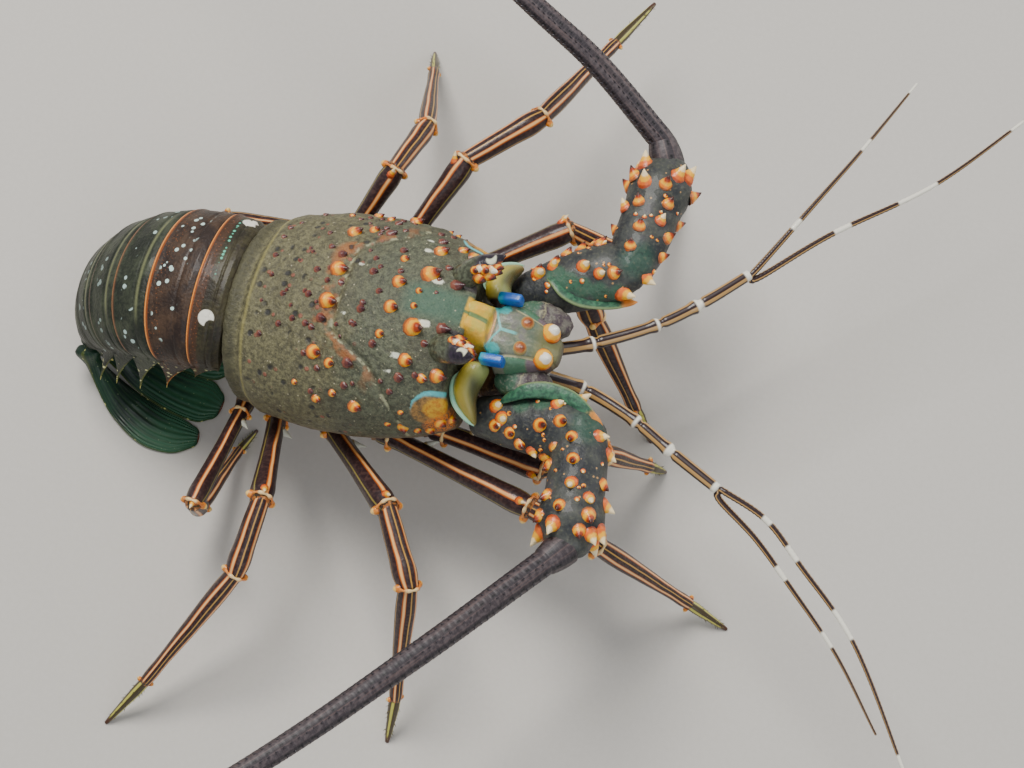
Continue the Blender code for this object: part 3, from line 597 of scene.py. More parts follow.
def front_coats(paint, along, across, side, above, ragged):
    """The gold brow with its green seam, painted shade in the orbits under the horns, and the brown of the
    folded flanks.
    """
    brow = paint.rise(side + ragged * 0.4, 6.4, 5.2) * paint.rise(along + ragged * 0.3, 89.0, 89.8)
    seam = paint.line(across, 0.0, 0.6, 0.6)
    # Painted shade: dark purple over the orbits, where the horns shade the front of the shell.
    orbit_painted_shade = paint.rise(side, 7.4, 8.4) * paint.rise(along, 85.0, 87.0) * paint.rise(above, -13.0, -9.0)
    return (
        (brow, paint.mix(seam, GOLD, rgb(104, 122, 72))),
        (orbit_painted_shade * 0.8, rgb(40, 32, 42)),
        (paint.rise(above, -28.0, -42.0) * 0.75, rgb(120, 84, 52)),
    )


# %% Paint for the carapace
def carapace_paint():
    paint = Paint("carapace_shell")
    here = paint.body()
    along, across, above = paint.split(here)
    side = across.size()
    fine = paint.noise(here, 1.5, 3.0, 0.7)
    mottle = paint.noise(here, 0.55, 3.0, 0.65)
    ragged = paint.noise(here, 0.4, 3.0, 0.7) * 2.6 - 1.3
    pit_coats, pits, granules, grain = pits_and_grain(paint, here, along)
    colour = paint.coats(
        paint.tones(mottle, 0.34, 0.66, DARK_OLIVE, KHAKI),
        *shell_mottling(paint, here, along, fine, mottle),
        *groove_coats(paint, here, along, side),
        *pit_coats,
        (paint.line(along, RIM_FURROW + 3.0, 0.6, 1.4) * 0.7, RIM_PALE),
        (paint.rise(along, 6.4, 3.4) * 0.7, RIM_SHADE),
        *white_patches(paint, here, along, side, above),
        *cheek_coats(paint, along, side, above, ragged, fine, mottle),
        *front_coats(paint, along, across, side, above, ragged),
    )
    bumps = mottle * 0.5 + fine * 0.5 - pits * 0.9 + granules * 0.5 + grain * 0.3
    return paint.finish(colour, 0.45 + mottle * 0.3, bumps, 0.55)


finish(carapace, carapace_paint(), "shell", "carapace")

# %% [markdown]
# ## Thorns
# Every thorn is the same horny cone, leaning forward, with its foot swelling out of the shell. It
# is drawn once, as a ring pulled out in steps by extrude and resize, and copies of it are turned,
# sized and joined in one piece. Its UV map keeps the height, so that the paint can
# turn from the foot's colour to the tip's.

# %% The thorn and the planting tool
# A model is a profile, as heights and radii, and how far it leans towards +X
THORN = (
    ((-0.35, 0.66), (-0.05, 0.58), (0.08, 0.48), (0.3, 0.36), (0.55, 0.24), (0.8, 0.12), (0.95, 0.045)),
    0.22,
)


def pulled_out(profile, lean, sides):
    """A ring pulled upwards in steps along a profile."""
    deselect()
    height, radius = profile[0]
    bpy.ops.mesh.primitive_circle_add(vertices=sides, radius=radius, location=(0, 0, height))
    bpy.ops.object.transform_apply(location=True, rotation=True, scale=True)
    bpy.ops.object.mode_set(mode="EDIT")
    bpy.ops.mesh.select_all(action="SELECT")
    for (low, wide), (high, narrow) in zip(profile, profile[1:]):
        x = lean * max(0.0, low) ** 2
        shift = lean * max(0.0, high) ** 2 - x
        bpy.ops.mesh.extrude_region_move(TRANSFORM_OT_translate={"value": (shift, 0, high - low)})
        ratio = narrow / wide
        bpy.ops.transform.resize(value=(ratio, ratio, 1), center_override=(x + shift, 0, high))
    bpy.ops.mesh.edge_face_add()
    bpy.ops.mesh.select_all(action="SELECT")
    bpy.ops.mesh.normals_make_consistent(inside=False)
    bpy.ops.object.mode_set(mode="OBJECT")
    model = bpy.context.object
    uv_by_height(model)
    return model


def uv_by_height(piece):
    """Writes each corner's x and height to the UV map."""
    which = np.empty(len(piece.data.loops), np.int32)
    piece.data.loops.foreach_get("vertex_index", which)
    set_uv(piece, lambda _: corners(piece)[which][:, (0, 2)])


def stand(root, way, forward, width, height):
    """The placing of a model whose up is way and whose +X leans to forward; sizes in millimetres."""
    up = Vector(unit(way))
    ahead = Vector(forward)
    ahead = (ahead - up * ahead.dot(up)).normalized()
    turned = Matrix((ahead, up.cross(ahead), up)).transposed().to_4x4()
    sized = Matrix.Diagonal((width / 1000, width / 1000, height / 1000, 1.0))
    return Matrix.Translation(metres(root)) @ turned @ sized


def sprout(name, model, sides, places, paint, slot):
    """Plants a copy of a model at every place, joins the copies and paints them."""
    pattern = pulled_out(*model, sides)
    bm = bmesh.new()
    for place in places:
        copy = pattern.data.copy()
        copy.transform(place)
        bm.from_mesh(copy)
        bpy.data.meshes.remove(copy)
    mesh = bpy.data.meshes.new(name)
    bm.to_mesh(mesh)
    bm.free()
    mesh.shade_smooth()
    piece = bpy.data.objects.new(name, mesh)
    bpy.context.scene.collection.objects.link(piece)
    bpy.data.objects.remove(pattern)
    finish(piece, paint, slot)


def on_skin(piece, point):
    """The place on a piece nearest to a point in millimetres, and its outward direction."""
    _, place, normal, _ = piece.closest_point_on_mesh(Vector(metres(point)))
    return np.array(place) * 1000 + ORIGIN, np.array(normal)


# %% [markdown]
# ## Paint for thorns
# A thorn is amber at its foot and darkens through red to a horny brown tip. The small ones are
# dull maroon all over, and the cream ones are pale at the tip.

# %% Thorn paints
def thorn_paint(name, *stops):
    """Colours by height: each stop is a height and the colour that begins there."""
    paint = Paint(name, Roughness=0.38, Coat_Weight=0.15)
    _, height, _ = paint.split(paint.uv())
    wobble = paint.noise(paint.spot(), 0.6, 2.0)
    level = height + wobble * 0.3 - 0.15
    colour = stops[0][1]
    for place, tint in stops[1:]:
        colour = paint.mix(paint.rise(level, place - 0.07, place + 0.07), colour, tint)
    return paint.finish(colour, None, wobble, 0.3)


fire_paint = thorn_paint(
    "fire_thorn", (-0.3, rgb(150, 84, 44)), (-0.14, ORANGE), (0.06, AMBER), (0.34, ORANGE), (0.46, RED),
    (0.66, HORN_DARK),
)
pale_paint = thorn_paint(
    "pale_thorn", (-0.3, rgb(170, 70, 30)), (-0.1, rgb(232, 110, 34)), (0.2, AMBER),
    (0.5, rgb(248, 226, 176)),
)
maroon_paint = thorn_paint("maroon_thorn", (-0.3, rgb(128, 72, 54)), (0.1, MAROON), (0.5, rgb(64, 28, 34)))

# %% [markdown]
# ## The carapace's thorns
# The thorns stand in rows that run forward, larger towards the head. Each one's foot is found on
# the finished skin below its place along and across the body. Small ones are sown between them.

# %% Plant the carapace's thorns
# Place along the body, distance from the midline, height and width
BRIGHT_THORNS = (
    (41.0, 6.4, 4.2, 5.2), (65.0, 5.0, 3.2, 4.4), (72.8, 3.0, 1.6, 2.2), (74.8, 10.6, 5.2, 5.8),
    (63.3, 15.0, 2.2, 2.8), (74.0, 21.6, 3.8, 4.4), (39.7, 24.3, 3.8, 4.6), (46.0, 27.0, 2.6, 3.2),
    (80.0, 25.4, 2.8, 3.2), (85.0, 23.3, 3.8, 4.6), (41.2, 37.3, 2.4, 3.0), (47.8, 35.3, 2.0, 2.6),
    (56.0, 37.4, 3.2, 4.2), (33.0, 34.0, 1.4, 2.0),
)
MAROON_THORNS = (
    (40.0, 12.8, 2.2, 3.0), (54.2, 7.5, 2.0, 2.8), (53.0, 13.2, 1.3, 2.0), (61.4, 18.7, 1.8, 2.6),
    (53.3, 26.0, 2.6, 3.6), (52.4, 32.7, 1.8, 2.6), (72.2, 27.0, 2.0, 3.2), (69.0, 31.6, 1.4, 2.2),
    (34.6, 15.5, 1.4, 2.2), (33.0, 5.0, 1.6, 2.4), (84.6, 8.6, 3.6, 3.8), (79.5, 15.0, 1.6, 2.4),
)
MIDLINE_THORN = (58.9, 0.0, 1.6, 2.2)
# Under the cheek's bright patch: along, from the midline, level, height and width
CHEEK_BUMPS = (
    (70.3, 37.9, -25.6, 2.6, 4.8), (75.6, 36.8, -28.0, 1.8, 2.6), (79.4, 35.2, -29.6, 2.2, 3.2),
    (83.6, 32.8, -25.5, 2.6, 4.2), (86.6, 30.4, -27.5, 2.0, 3.0), (66.5, 38.0, -21.0, 1.4, 2.2),
    (72.5, 36.5, -15.5, 1.4, 2.0),
)
# The small thorns that are sown: how many, their places along and across, and their heights
SOWN, SOWN_ALONG, SOWN_ACROSS, SOWN_HEIGHTS = 54, (13, 84), (-36, 36), (0.7, 1.3)
SOWN_SPREAD = 1.7
SHELL_LEAN, CHEEK_LEAN = 0.8, 0.4
HEADWARD = on_body(1, 0, 0) - on_body(0, 0, 0)
chance = np.random.default_rng(7)


def shell_level(along, across):
    """The shell's height above the crest line, over a place along and across the body."""
    stations, half_widths, crests, drops, _ = CARAPACE_SECTIONS.T
    half_width = np.interp(along, stations, half_widths)
    drop = np.interp(along, stations, drops)
    level = np.interp(along, stations, crests) - drop
    return level + drop * math.sqrt(max(0.0, 1 - (across / half_width) ** 2))


def thorn_place(piece, point, width, height, lean):
    root, out = on_skin(piece, point)
    return stand(root, out + HEADWARD * lean, HEADWARD, width, height)


def shell_thorn(along, across, height, width):
    point = on_body(along, across, shell_level(along, across))
    return thorn_place(carapace, point, width, height, SHELL_LEAN)


bright_places, maroon_places = [], [shell_thorn(*MIDLINE_THORN)]
for _, sign in SIDES:
    for along, across, height, width in BRIGHT_THORNS:
        bright_places.append(shell_thorn(along, sign * across, height, width))
    for along, across, height, width in MAROON_THORNS:
        maroon_places.append(shell_thorn(along, sign * across, height, width))
    for along, across, above, height, width in CHEEK_BUMPS:
        point = on_body(along, sign * across, above)
        bright_places.append(thorn_place(carapace, point, width, height, CHEEK_LEAN))
for _ in range(SOWN):
    along, across = chance.uniform(*SOWN_ALONG), chance.uniform(*SOWN_ACROSS)
    height = chance.uniform(*SOWN_HEIGHTS)
    maroon_places.append(shell_thorn(along, across, height, height * SOWN_SPREAD))
sprout("carapace_bright_thorns", THORN, 12, bright_places, fire_paint, "shell")
sprout("carapace_maroon_thorns", THORN, 8, maroon_places, maroon_paint, "shell")

# %% [markdown]
# ## Limbs
# Legs, antennae and stalks are all jointed tubes. One tool draws a length of limb: rings from its
# start to its end, wide as a table says, with both ends rounded so that neighbours meet in a crease.

# %% The limb tool
def widths_at(shape, places):
    """Widths read off a table of fractions and widths, smoothly."""
    stations, widths = np.array(shape, float).T
    return smooth(stations, widths, np.clip(places, 0, 1))


def cross_frame(along, side):
    """Two directions square to a limb: the given side made square, and the one beside it."""
    side = unit(side - along * np.dot(side, along))
    return side, np.cross(along, side)


def limb_grid(start, end, shape, side, depth, rows, columns, round_off):
    """Rings of points along a straight length; round_off is each end's dome as a share of its width."""
    start, end = np.asarray(start, float), np.asarray(end, float)
    length = np.linalg.norm(end - start)
    along = (end - start) / length
    side, beside = cross_frame(along, np.asarray(side, float))
    first_dome, last_dome = round_off * widths_at(shape, 0.0), round_off * widths_at(shape, 1.0)
    turn = np.linspace(0, 2 * math.pi, columns + 1)[None, :, None]
    travel = -first_dome + np.linspace(0, 1, rows + 1) * (length + first_dome + last_dome)
    beyond = np.maximum(np.maximum(-travel / first_dome, (travel - length) / last_dome), 0)
    radius = widths_at(shape, travel / length) / 2 * np.sqrt(np.clip(1 - beyond**2, 0, 1))
    centre = start + travel[:, None] * along
    ring = side * np.cos(turn) + beside * depth * np.sin(turn)
    return centre[:, None, :] + ring * radius[:, None, None]


def tube_grid(path, widths, side, columns, depth=1.0):
    """Rings of points square to a curved path."""
    ways = unit(np.gradient(path, axis=0))
    turn = np.linspace(0, 2 * math.pi, columns + 1)[:, None]
    rings = []
    for point, way, width in zip(path, ways, widths):
        across, beside = cross_frame(way, side)
        rings.append(point + (across * np.cos(turn) + beside * depth * np.sin(turn)) * width / 2)
    return np.array(rings)


def join(name, pieces):
    deselect()
    for piece in pieces:
        piece.select_set(True)
    bpy.context.view_layer.objects.active = pieces[0]
    bpy.ops.object.join()
    joined = bpy.context.object
    joined.name = joined.data.name = name
    return joined


# %% [markdown]
# ## The head's front
# Between the eyes lies the plate that carries the small feelers: a blunt box, narrow between the
# horns, with gold patches there, bars of bright blue at its shoulders and two pairs of stout knobs.

# %% The plate between the eyes
# Place along the body, half width, top and bottom levels
PLATE_SECTIONS = (
    (89.4, 7.2, -1.4, -34.0),
    (93.0, 7.6, -3.2, -34.0),
    (96.0, 8.4, -6.6, -34.0),
    (97.8, 11.6, -10.0, -34.0),
    (101.0, 12.8, -10.8, -33.8),
    (105.0, 12.6, -12.0, -33.4),
    (110.0, 10.6, -14.4, -32.0),
    (115.0, 8.2, -18.4, -30.0),
    (118.5, 5.2, -21.6, -28.0),
)

PLATE_ROWS, PLATE_COLUMNS = 130, 112
PLATE_PINS, PLATE_SQUARE = 16, 0.6


def box_ring(along, half_width, top, bottom, pins, square):
    """A ring across the body; square makes it a circle at 1 and nearly a box at 0."""
    turns = 2 * math.pi * (np.arange(pins) + 0.5) / pins
    cosine, sine = np.cos(turns), np.sin(turns)
    across = half_width * np.sign(cosine) * abs(cosine) ** square
    above = (top + bottom) / 2 + (top - bottom) / 2 * np.sign(sine) * abs(sine) ** square
    return np.stack((np.full(pins, along), across, above), axis=1)


def plate_relief(grid):
    """The midline's seam, two low swellings beside it, and a groove across and at each side."""
    along, across, above = body_places(grid)
    side = abs(across)
    top = np.clip((above + 24) / 6, 0, 1)
    height = -0.8 * hump(across, 0, 1.0) * top * np.clip((along - 99) / 4, 0, 1)
    height -= 0.7 * hump(across, 0, 0.7) * top * np.clip((96 - along) / 2, 0, 1)
    height += 0.6 * hump(side, 4.5, 2.5) * top
    height -= 0.9 * hump(along, 97.4, 0.8) * top
    height -= 0.7 * hump(side, 9.2 - (along - 103) * 0.22, 0.7) * top * np.clip((along - 98) / 3, 0, 1)
    return height


rings = [box_ring(*section, PLATE_PINS, PLATE_SQUARE) for section in PLATE_SECTIONS]
rings = [drawn_in(rings[0], 0.1, -0.4), drawn_in(rings[0], 0.9, 0)] + rings
rings += [drawn_in(rings[-1], 0.75, 1.0), drawn_in(rings[-1], 0.08, 1.6)]
plate = skin("head_plate", [on_body(*ring.T) for ring in rings], PLATE_ROWS, PLATE_COLUMNS, plate_relief)

# %% [markdown]
# ## Paint for the plate
# The plate is grey green with a gold rear part, a leaf of green at each side and a blue Y between.

# %% The plate's paint
def plate_side_coats(paint, along, side):
    """A green leaf and a plum patch at each side, with a pale line along them."""
    slant = side + (along - 103.0) * 0.24
    outer = paint.rise(slant, 9.0, 9.8)
    return (
        (outer * paint.line(along, 107.0, 3.6, 0.8) * 0.85, rgb(62, 112, 84)),
        (outer * paint.rise(along, 110.4, 111.4) * 0.8, rgb(104, 84, 100)),
        (paint.line(slant, 9.0, 0.3, 0.4) * paint.rise(along, 102.5, 104.0) * 0.7, rgb(196, 188, 138)),
    )


def plate_gold_coats(paint, along, across, side, cloud):
    """The gold rear part, its green seam, and the tan edge in front of it."""
    front = 97.3 - side * 0.06
    seam = paint.line(across, 0.0, 0.9, 0.6) * paint.rise(along, 96.6, 96.0)
    edge = paint.line(along - front, 0.35, 0.45, 0.5) * paint.rise(side, 8.2, 7.4)
    gold = paint.tones(cloud, 0.4, 0.6, rgb(204, 180, 66), rgb(226, 176, 46))
    return (
        (paint.rise(along - front, 0.2, -0.4), gold),
        (seam, rgb(104, 128, 74)),
        (edge, rgb(190, 142, 84)),
    )


def plate_blue_coats(paint, along, side, above, fine):
    """A pale blue Y on the midline, and a turquoise spot at each shoulder."""
    arm = paint.line(along + side * 0.47, 100.4, 0.42, 0.4) * paint.rise(side, 7.6, 6.8)
    stem = paint.rise(side, 0.75, 0.35) * paint.rise(along, 99.6, 100.2) * paint.rise(along, 106.6, 104.6)
    shoulder = paint.near(paint.point(along, side + fine * 3.0, above), (99.2, 10.3, -10.6), 3.2, 1.0)
    return (
        ((arm + stem).least(1.0) * 0.9, rgb(98, 186, 180)),
        (shoulder * 0.85, rgb(60, 172, 168)),
    )


def plate_paint():
    paint = Paint("head_plate", Coat_Weight=0.15)
    here = paint.body()
    along, across, above = paint.split(here)
    side = across.size()
    cloud = paint.noise(here, 0.2, 3.0)
    fine = paint.noise(here, 0.9, 3.0)
    colour = paint.coats(
        paint.tones(cloud, 0.35, 0.65, rgb(86, 102, 86), rgb(112, 116, 96)),
        (paint.rise(cloud, 0.5, 0.7) * 0.5, rgb(112, 104, 116)),
        (paint.rise(fine, 0.45, 0.75) * 0.4, rgb(150, 152, 122)),
        (paint.rise(along, 110.0, 115.0) * 0.8, rgb(116, 116, 66)),
        *plate_side_coats(paint, along, side),
        *plate_gold_coats(paint, along, across, side, cloud),
        *plate_blue_coats(paint, along, side, above, fine),
        (paint.rise(above, -20.0, -26.0) * 0.8, rgb(64, 52, 44)),
    )
    return paint.finish(colour, 0.34 + fine * 0.25, fine + cloud, 0.3)


finish(plate, plate_paint(), "plate", "antennular_plate")

# %% [markdown]
# ## Knobs
# Two stout pale-tipped knobs stand at the plate's front and two low brown ones behind them. Each
# is made as a thorn is, from a profile that is wider and blunter.

# %% The knobs
KNOB_PROFILE = (
    (-0.5, 0.56), (-0.1, 0.52), (0.15, 0.47), (0.4, 0.38), (0.62, 0.28), (0.82, 0.17), (0.96, 0.07),
    (1.0, 0.02),
)
UPRIGHT_KNOB, KNOB = (KNOB_PROFILE, 0.1), (KNOB_PROFILE, 0.2)


def knob_pair(along, across, above, height, width):
    """Two places on the plate, one at each side of the midline."""
    places = []
    for _, sign in SIDES:
        root, out = on_skin(plate, on_body(along, sign * across, above))
        places.append(stand(root, out + UP * 0.9, HEADWARD, width, height))
    return places


knob_paint = thorn_paint("knob", (-0.4, rgb(150, 80, 30)), (-0.1, ORANGE), (0.16, AMBER), (0.6, WHITE))
low_knob_paint = thorn_paint(
    "low_knob", (-0.4, rgb(160, 146, 96)), (0.2, rgb(176, 116, 56)), (0.45, rgb(158, 84, 30)),
    (0.8, rgb(116, 56, 24)),
)
sprout("plate_front_knobs", UPRIGHT_KNOB, 20, knob_pair(115.6, 5.0, -19.4, 4.2, 7.2), knob_paint, "plate")
sprout("plate_rear_knobs", KNOB, 20, knob_pair(108.3, 4.9, -13.4, 1.4, 4.8), low_knob_paint, "plate")

# %% [markdown]
# ## Cheeks and blue bars
# A flat lumpy cheek, green behind and grey in front, fills the corner between the plate and each
# antenna. At each shoulder of the plate a low rounded bar of bright blue runs forward beside the
# eye. Both are short skins over box-shaped rings, so one tool makes them.

# %% The cheeks and the blue bars
# Place along the body, and the share of the full size there
CHEEK_SECTIONS = (
    (98.4, 0.05), (99.2, 0.5), (102.0, 0.8), (106.0, 0.98), (110.0, 1.0), (115.0, 0.82), (118.5, 0.5),
    (120.0, 0.05),
)
BAR_SECTIONS = ((96.2, 0.3), (96.4, 0.8), (97.4, 1.0), (103.8, 1.0), (104.9, 0.8), (105.1, 0.3))
# The full size: distance from the midline, half width, top and foot levels, the top's fall with length
CHEEK_SIZE = (12.4, 6.4, -18.4, -33.0, 0.22)
BAR_SIZE = (12.1, 1.75, -8.8, -14.0, 0.0)


def boxy_skin(name, sign, sections, size, pins, square, rows, columns):
    """A skin beside the midline, over box rings that follow a table of sections."""
    across, half_width, top, foot, fall = size
    rings = []
    for along, share in sections:
        height = top - (along - sections[0][0]) * fall - foot
        middle, reach = foot + height / 2, height / 2 * share
        ring = box_ring(along, half_width * share, middle + reach, middle - reach, pins, square)
        rings.append(on_body(*(ring + (0, sign * across, 0)).T))
    return skin(name, rings, rows, columns)


def cheek_paint():
    paint = Paint("cheek", Roughness=0.55)
    here = paint.body()
    along, _, _ = paint.split(here)
    cloud = paint.noise(here, 0.35, 3.0)
    fine = paint.noise(here, 1.1, 3.0)
    colour = paint.coats(
        paint.tones(cloud, 0.4, 0.6, rgb(66, 54, 60), rgb(96, 92, 84)),
        (paint.rise(along + cloud * 5.0, 112.0, 109.5) * 0.85, rgb(50, 96, 70)),
        (paint.line(along + cloud * 5.0, 112.2, 0.3, 0.5) * 0.5, rgb(176, 172, 128)),
        (paint.rise(fine, 0.5, 0.75) * 0.5, rgb(150, 146, 130)),
    )
    return paint.finish(colour, None, fine, 0.3)


def bar_paint():
    """Blue, greener at the rear end."""
    paint = Paint("blue_bar", Roughness=0.35, Coat_Weight=0.2)
    here = paint.body()
    along, _, _ = paint.split(here)
    fine = paint.noise(here, 0.5, 2.0)
    colour = paint.tones(along + fine * 3.0, 98.0, 101.5, rgb(20, 150, 172), rgb(0, 86, 176))
    colour = paint.coats(colour, (paint.rise(fine, 0.5, 0.7) * 0.4, rgb(0, 112, 196)))
    return paint.finish(colour, None, fine, 0.15)


paint_for_cheeks = cheek_paint()
for name, sign in SIDES:
    cheek = boxy_skin(f"cheek_{name}", sign, CHEEK_SECTIONS, CHEEK_SIZE, 16, 0.7, 64, 64)
    raise_granules(cheek, -0.7, 3.0)
    finish(cheek, paint_for_cheeks, "plate")
paint_for_bars = bar_paint()
for name, sign in SIDES:
    bar = boxy_skin(f"blue_bar_{name}", sign, BAR_SECTIONS, BAR_SIZE, 12, 0.5, 24, 32)
    finish(bar, paint_for_bars, "plate")

# %% [markdown]
# ## The horns
# A stout horn over each eye curves forward and up. It is a tube drawn along a curve, dark with
# a white crescent on top, and orange and cream warts crowd its inner side.

# %% The horns
HORN_PINS = ((79.5, 12.4, -8.5), (84.5, 14.0, -3.2), (89.8, 16.2, 0.6), (95.4, 18.4, 3.2), (100.8, 19.8, 7.0))
HORN_WIDTHS = (11.4, 11.0, 9.8, 6.6, 0.8)
HORN_ROWS, HORN_COLUMNS, HORN_DEPTH = 48, 32, 0.9
# Along, from the midline, level, height and width
HORN_WARTS = {
    "orange": (
        (92.0, 12.4, 1.6, 2.6, 4.2), (95.2, 13.6, 1.2, 3.0, 4.6), (97.6, 15.8, 0.0, 2.8, 4.2),
        (94.2, 14.2, 4.6, 2.0, 3.6), (99.2, 17.8, -1.0, 2.2, 3.4), (90.6, 13.2, 5.2, 1.6, 3.0),
        (97.6, 16.8, 3.6, 1.8, 3.2),
    ),
    "cream": ((96.2, 15.6, 3.4, 2.2, 3.4), (92.4, 13.8, 5.8, 1.6, 2.8)),
}
WART_LEAN = 0.5
SIDEWAYS = np.array((0.0, 1.0, 0.0))


def horn_paint():
    paint = Paint("horn", Roughness=0.35, Coat_Weight=0.3)
    here = paint.body()
    along, across, above = paint.split(here)
    mirrored = paint.point(along, across.size(), above)
    fine = paint.noise(here, 0.8, 2.0)
    foot = paint.rise(along + fine * 3.0, 93.5, 90.0)
    crescent = paint.crescent(mirrored, (95.8, 18.2, 6.2), 2.0, (95.0, 20.0, 5.6), 2.0, 0.8)
    colour = paint.coats(
        paint.tones(fine, 0.4, 0.65, rgb(26, 20, 32), rgb(48, 38, 52)),
        (foot, paint.tones(fine, 0.35, 0.65, rgb(58, 60, 46), SAGE)),
        (crescent, rgb(224, 226, 196)),
        (paint.near(mirrored, (98.4, 18.4, 4.6), 1.2, 0.8), rgb(226, 130, 84)),
    )
    return paint.finish(colour, None, fine, 0.2)


paint_for_horns = horn_paint()
cream_paint = thorn_paint(
    "cream_wart", (-0.4, rgb(232, 140, 70)), (-0.05, rgb(244, 214, 160)), (0.4, rgb(250, 240, 214)),
)
warts = {"orange": [], "cream": []}
for name, sign in SIDES:
    axis = evenly(on_body(*(np.array(HORN_PINS) * (1, sign, 1)).T), HORN_ROWS + 1)
    widths = smooth(np.linspace(0, 1, len(HORN_WIDTHS)), HORN_WIDTHS, np.linspace(0, 1, HORN_ROWS + 1))
    horn = wrap(f"horn_{name}", tube_grid(axis, widths, SIDEWAYS, HORN_COLUMNS, HORN_DEPTH), 2.0)
    finish(horn, paint_for_horns, "shell")
    for tint, rows in HORN_WARTS.items():
        for along, across, above, height, width in rows:
            point = on_body(along, sign * across, above)
            warts[tint].append(thorn_place(horn, point, width, height, WART_LEAN))
sprout("horn_orange_warts", KNOB, 14, warts["orange"], fire_paint, "shell")
sprout("horn_cream_warts", KNOB, 14, warts["cream"], cream_paint, "shell")

# %% [markdown]
# ## The eyes
# Each eye sits on a short stalk under its horn and widens to a long rounded cap, hollowed a little
# in front. A lobster's eye has thousands of facets, so it reads as smooth satin.

# %% The eyes
# Distance from the midline, middle's place along the body, half length, half height and level
EYE_SECTIONS = (
    (7.0, 95.6, 0.3, 0.3, -17.0), (7.2, 95.6, 1.8, 1.8, -17.0), (11.2, 95.2, 2.2, 2.2, -17.0),
    (12.6, 94.4, 3.6, 3.4, -17.0), (14.2, 93.8, 4.6, 4.6, -17.2), (17.5, 92.6, 4.8, 5.4, -17.8),
    (20.8, 91.8, 4.5, 5.6, -18.6), (24.0, 91.8, 4.1, 5.4, -19.8), (27.0, 92.9, 3.6, 4.8, -21.4),
    (29.4, 94.1, 2.7, 3.8, -23.2), (31.2, 95.2, 1.5, 2.2, -24.8), (31.8, 95.6, 0.2, 0.2, -25.4),
)
# The pale rim behind the eye: along, from the midline, level and width
EYE_RIM = (
    (88.4, 16.5, -16.0, 0.3), (87.2, 18.5, -16.2, 1.4), (86.9, 21.0, -16.6, 1.8), (87.3, 24.0, -17.6, 1.9),
    (89.0, 27.6, -19.2, 1.9), (91.8, 30.2, -21.4, 1.8), (94.6, 31.8, -23.6, 1.5), (96.4, 32.3, -25.0, 0.3),
)
EYE_PINS, EYE_ROWS, EYE_COLUMNS = 14, 72, 56
RIM_ROWS, RIM_COLUMNS = 60, 12


def eye_rings(sign):
    turns = 2 * math.pi * np.arange(EYE_PINS) / EYE_PINS
    rings = []
    for across, along, length, height, level in EYE_SECTIONS:
        rings.append(on_body(along + length * np.cos(turns), sign * across, level + height * np.sin(turns)))
    return rings


def eye_paint():
    """Gold behind and olive in front, with painted shade in dark olive over the front's outer part, a maroon
    stalk and the finest of facets.
    """
    paint = Paint("eye", Coat_Weight=0.25)
    here = paint.body()
    along, across, _ = paint.split(here)
    side = across.size()
    facets = paint.cells(here, 3.2, 0.3)
    middle = along - paint.rise(side, 22.0, 32.0) * 2.6
    colour = paint.coats(
        paint.tones(middle, 88.5, 97.5, rgb(206, 180, 50), rgb(140, 152, 88)),
        (paint.rise(side, 22.0, 29.0) * 0.6, rgb(138, 124, 62)),
        # Painted shade: dark olive over the front of the eye towards its outer end.
        (paint.rise(middle, 92.8, 95.4) * paint.rise(side, 16.0, 21.0) * 0.85, rgb(58, 64, 42)),
        (paint.rise(side, 13.4, 12.2), rgb(52, 46, 48)),
    )
    return paint.finish(colour, 0.25 + facets * 0.1, facets, 0.1)


paint_for_eyes = eye_paint()
rim_paint = Paint("eye_rim", Roughness=0.4)
rim_cloud = rim_paint.noise(rim_paint.spot(), 0.4)
rim_paint.finish(rim_paint.mix(rim_cloud, rgb(120, 196, 176), rgb(190, 220, 180)))
for name, sign in SIDES:
    eye = skin(f"eye_{name}_skin", eye_rings(sign), EYE_ROWS, EYE_COLUMNS)
    finish(eye, paint_for_eyes, "eye", f"eye_{name}")
    along, across, above, width = np.array(EYE_RIM).T
    path = evenly(on_body(along, sign * across, above), RIM_ROWS + 1)
    widths = np.interp(np.linspace(0, 1, RIM_ROWS + 1), np.linspace(0, 1, len(EYE_RIM)), width)
    rim = wrap(f"eye_{name}_rim", tube_grid(path, widths, UP, RIM_COLUMNS), 1.0)
    finish(rim, rim_paint, "eye")

# %% [markdown]
# ## The antennae's stout lengths
# Each antenna starts with a base and an arm, thick as a finger and set with orange thorns. They are
# limbs with an oval section, and a green ridge runs along the inner edge of the base.

# %% The antennae's bases and arms
ANTENNA_BASE = {"left": (100, 24, 69.5), "right": (100, -24.5, 69.5)}
ANTENNA_ELBOW = {"left": (137, 42, 80), "right": (137, -24, 80)}
ANTENNA_END = {"left": (140, 84, 81), "right": (143, -66, 81)}
BASE_SHAPE = ((0.0, 15.0), (0.2, 18.5), (0.6, 22.5), (0.85, 22.0), (1.0, 17.5))
ARM_SHAPE = ((0.0, 17.0), (0.2, 20.0), (0.55, 21.0), (0.85, 22.5), (1.0, 16.0))
ANTENNA_DEPTH = 0.86
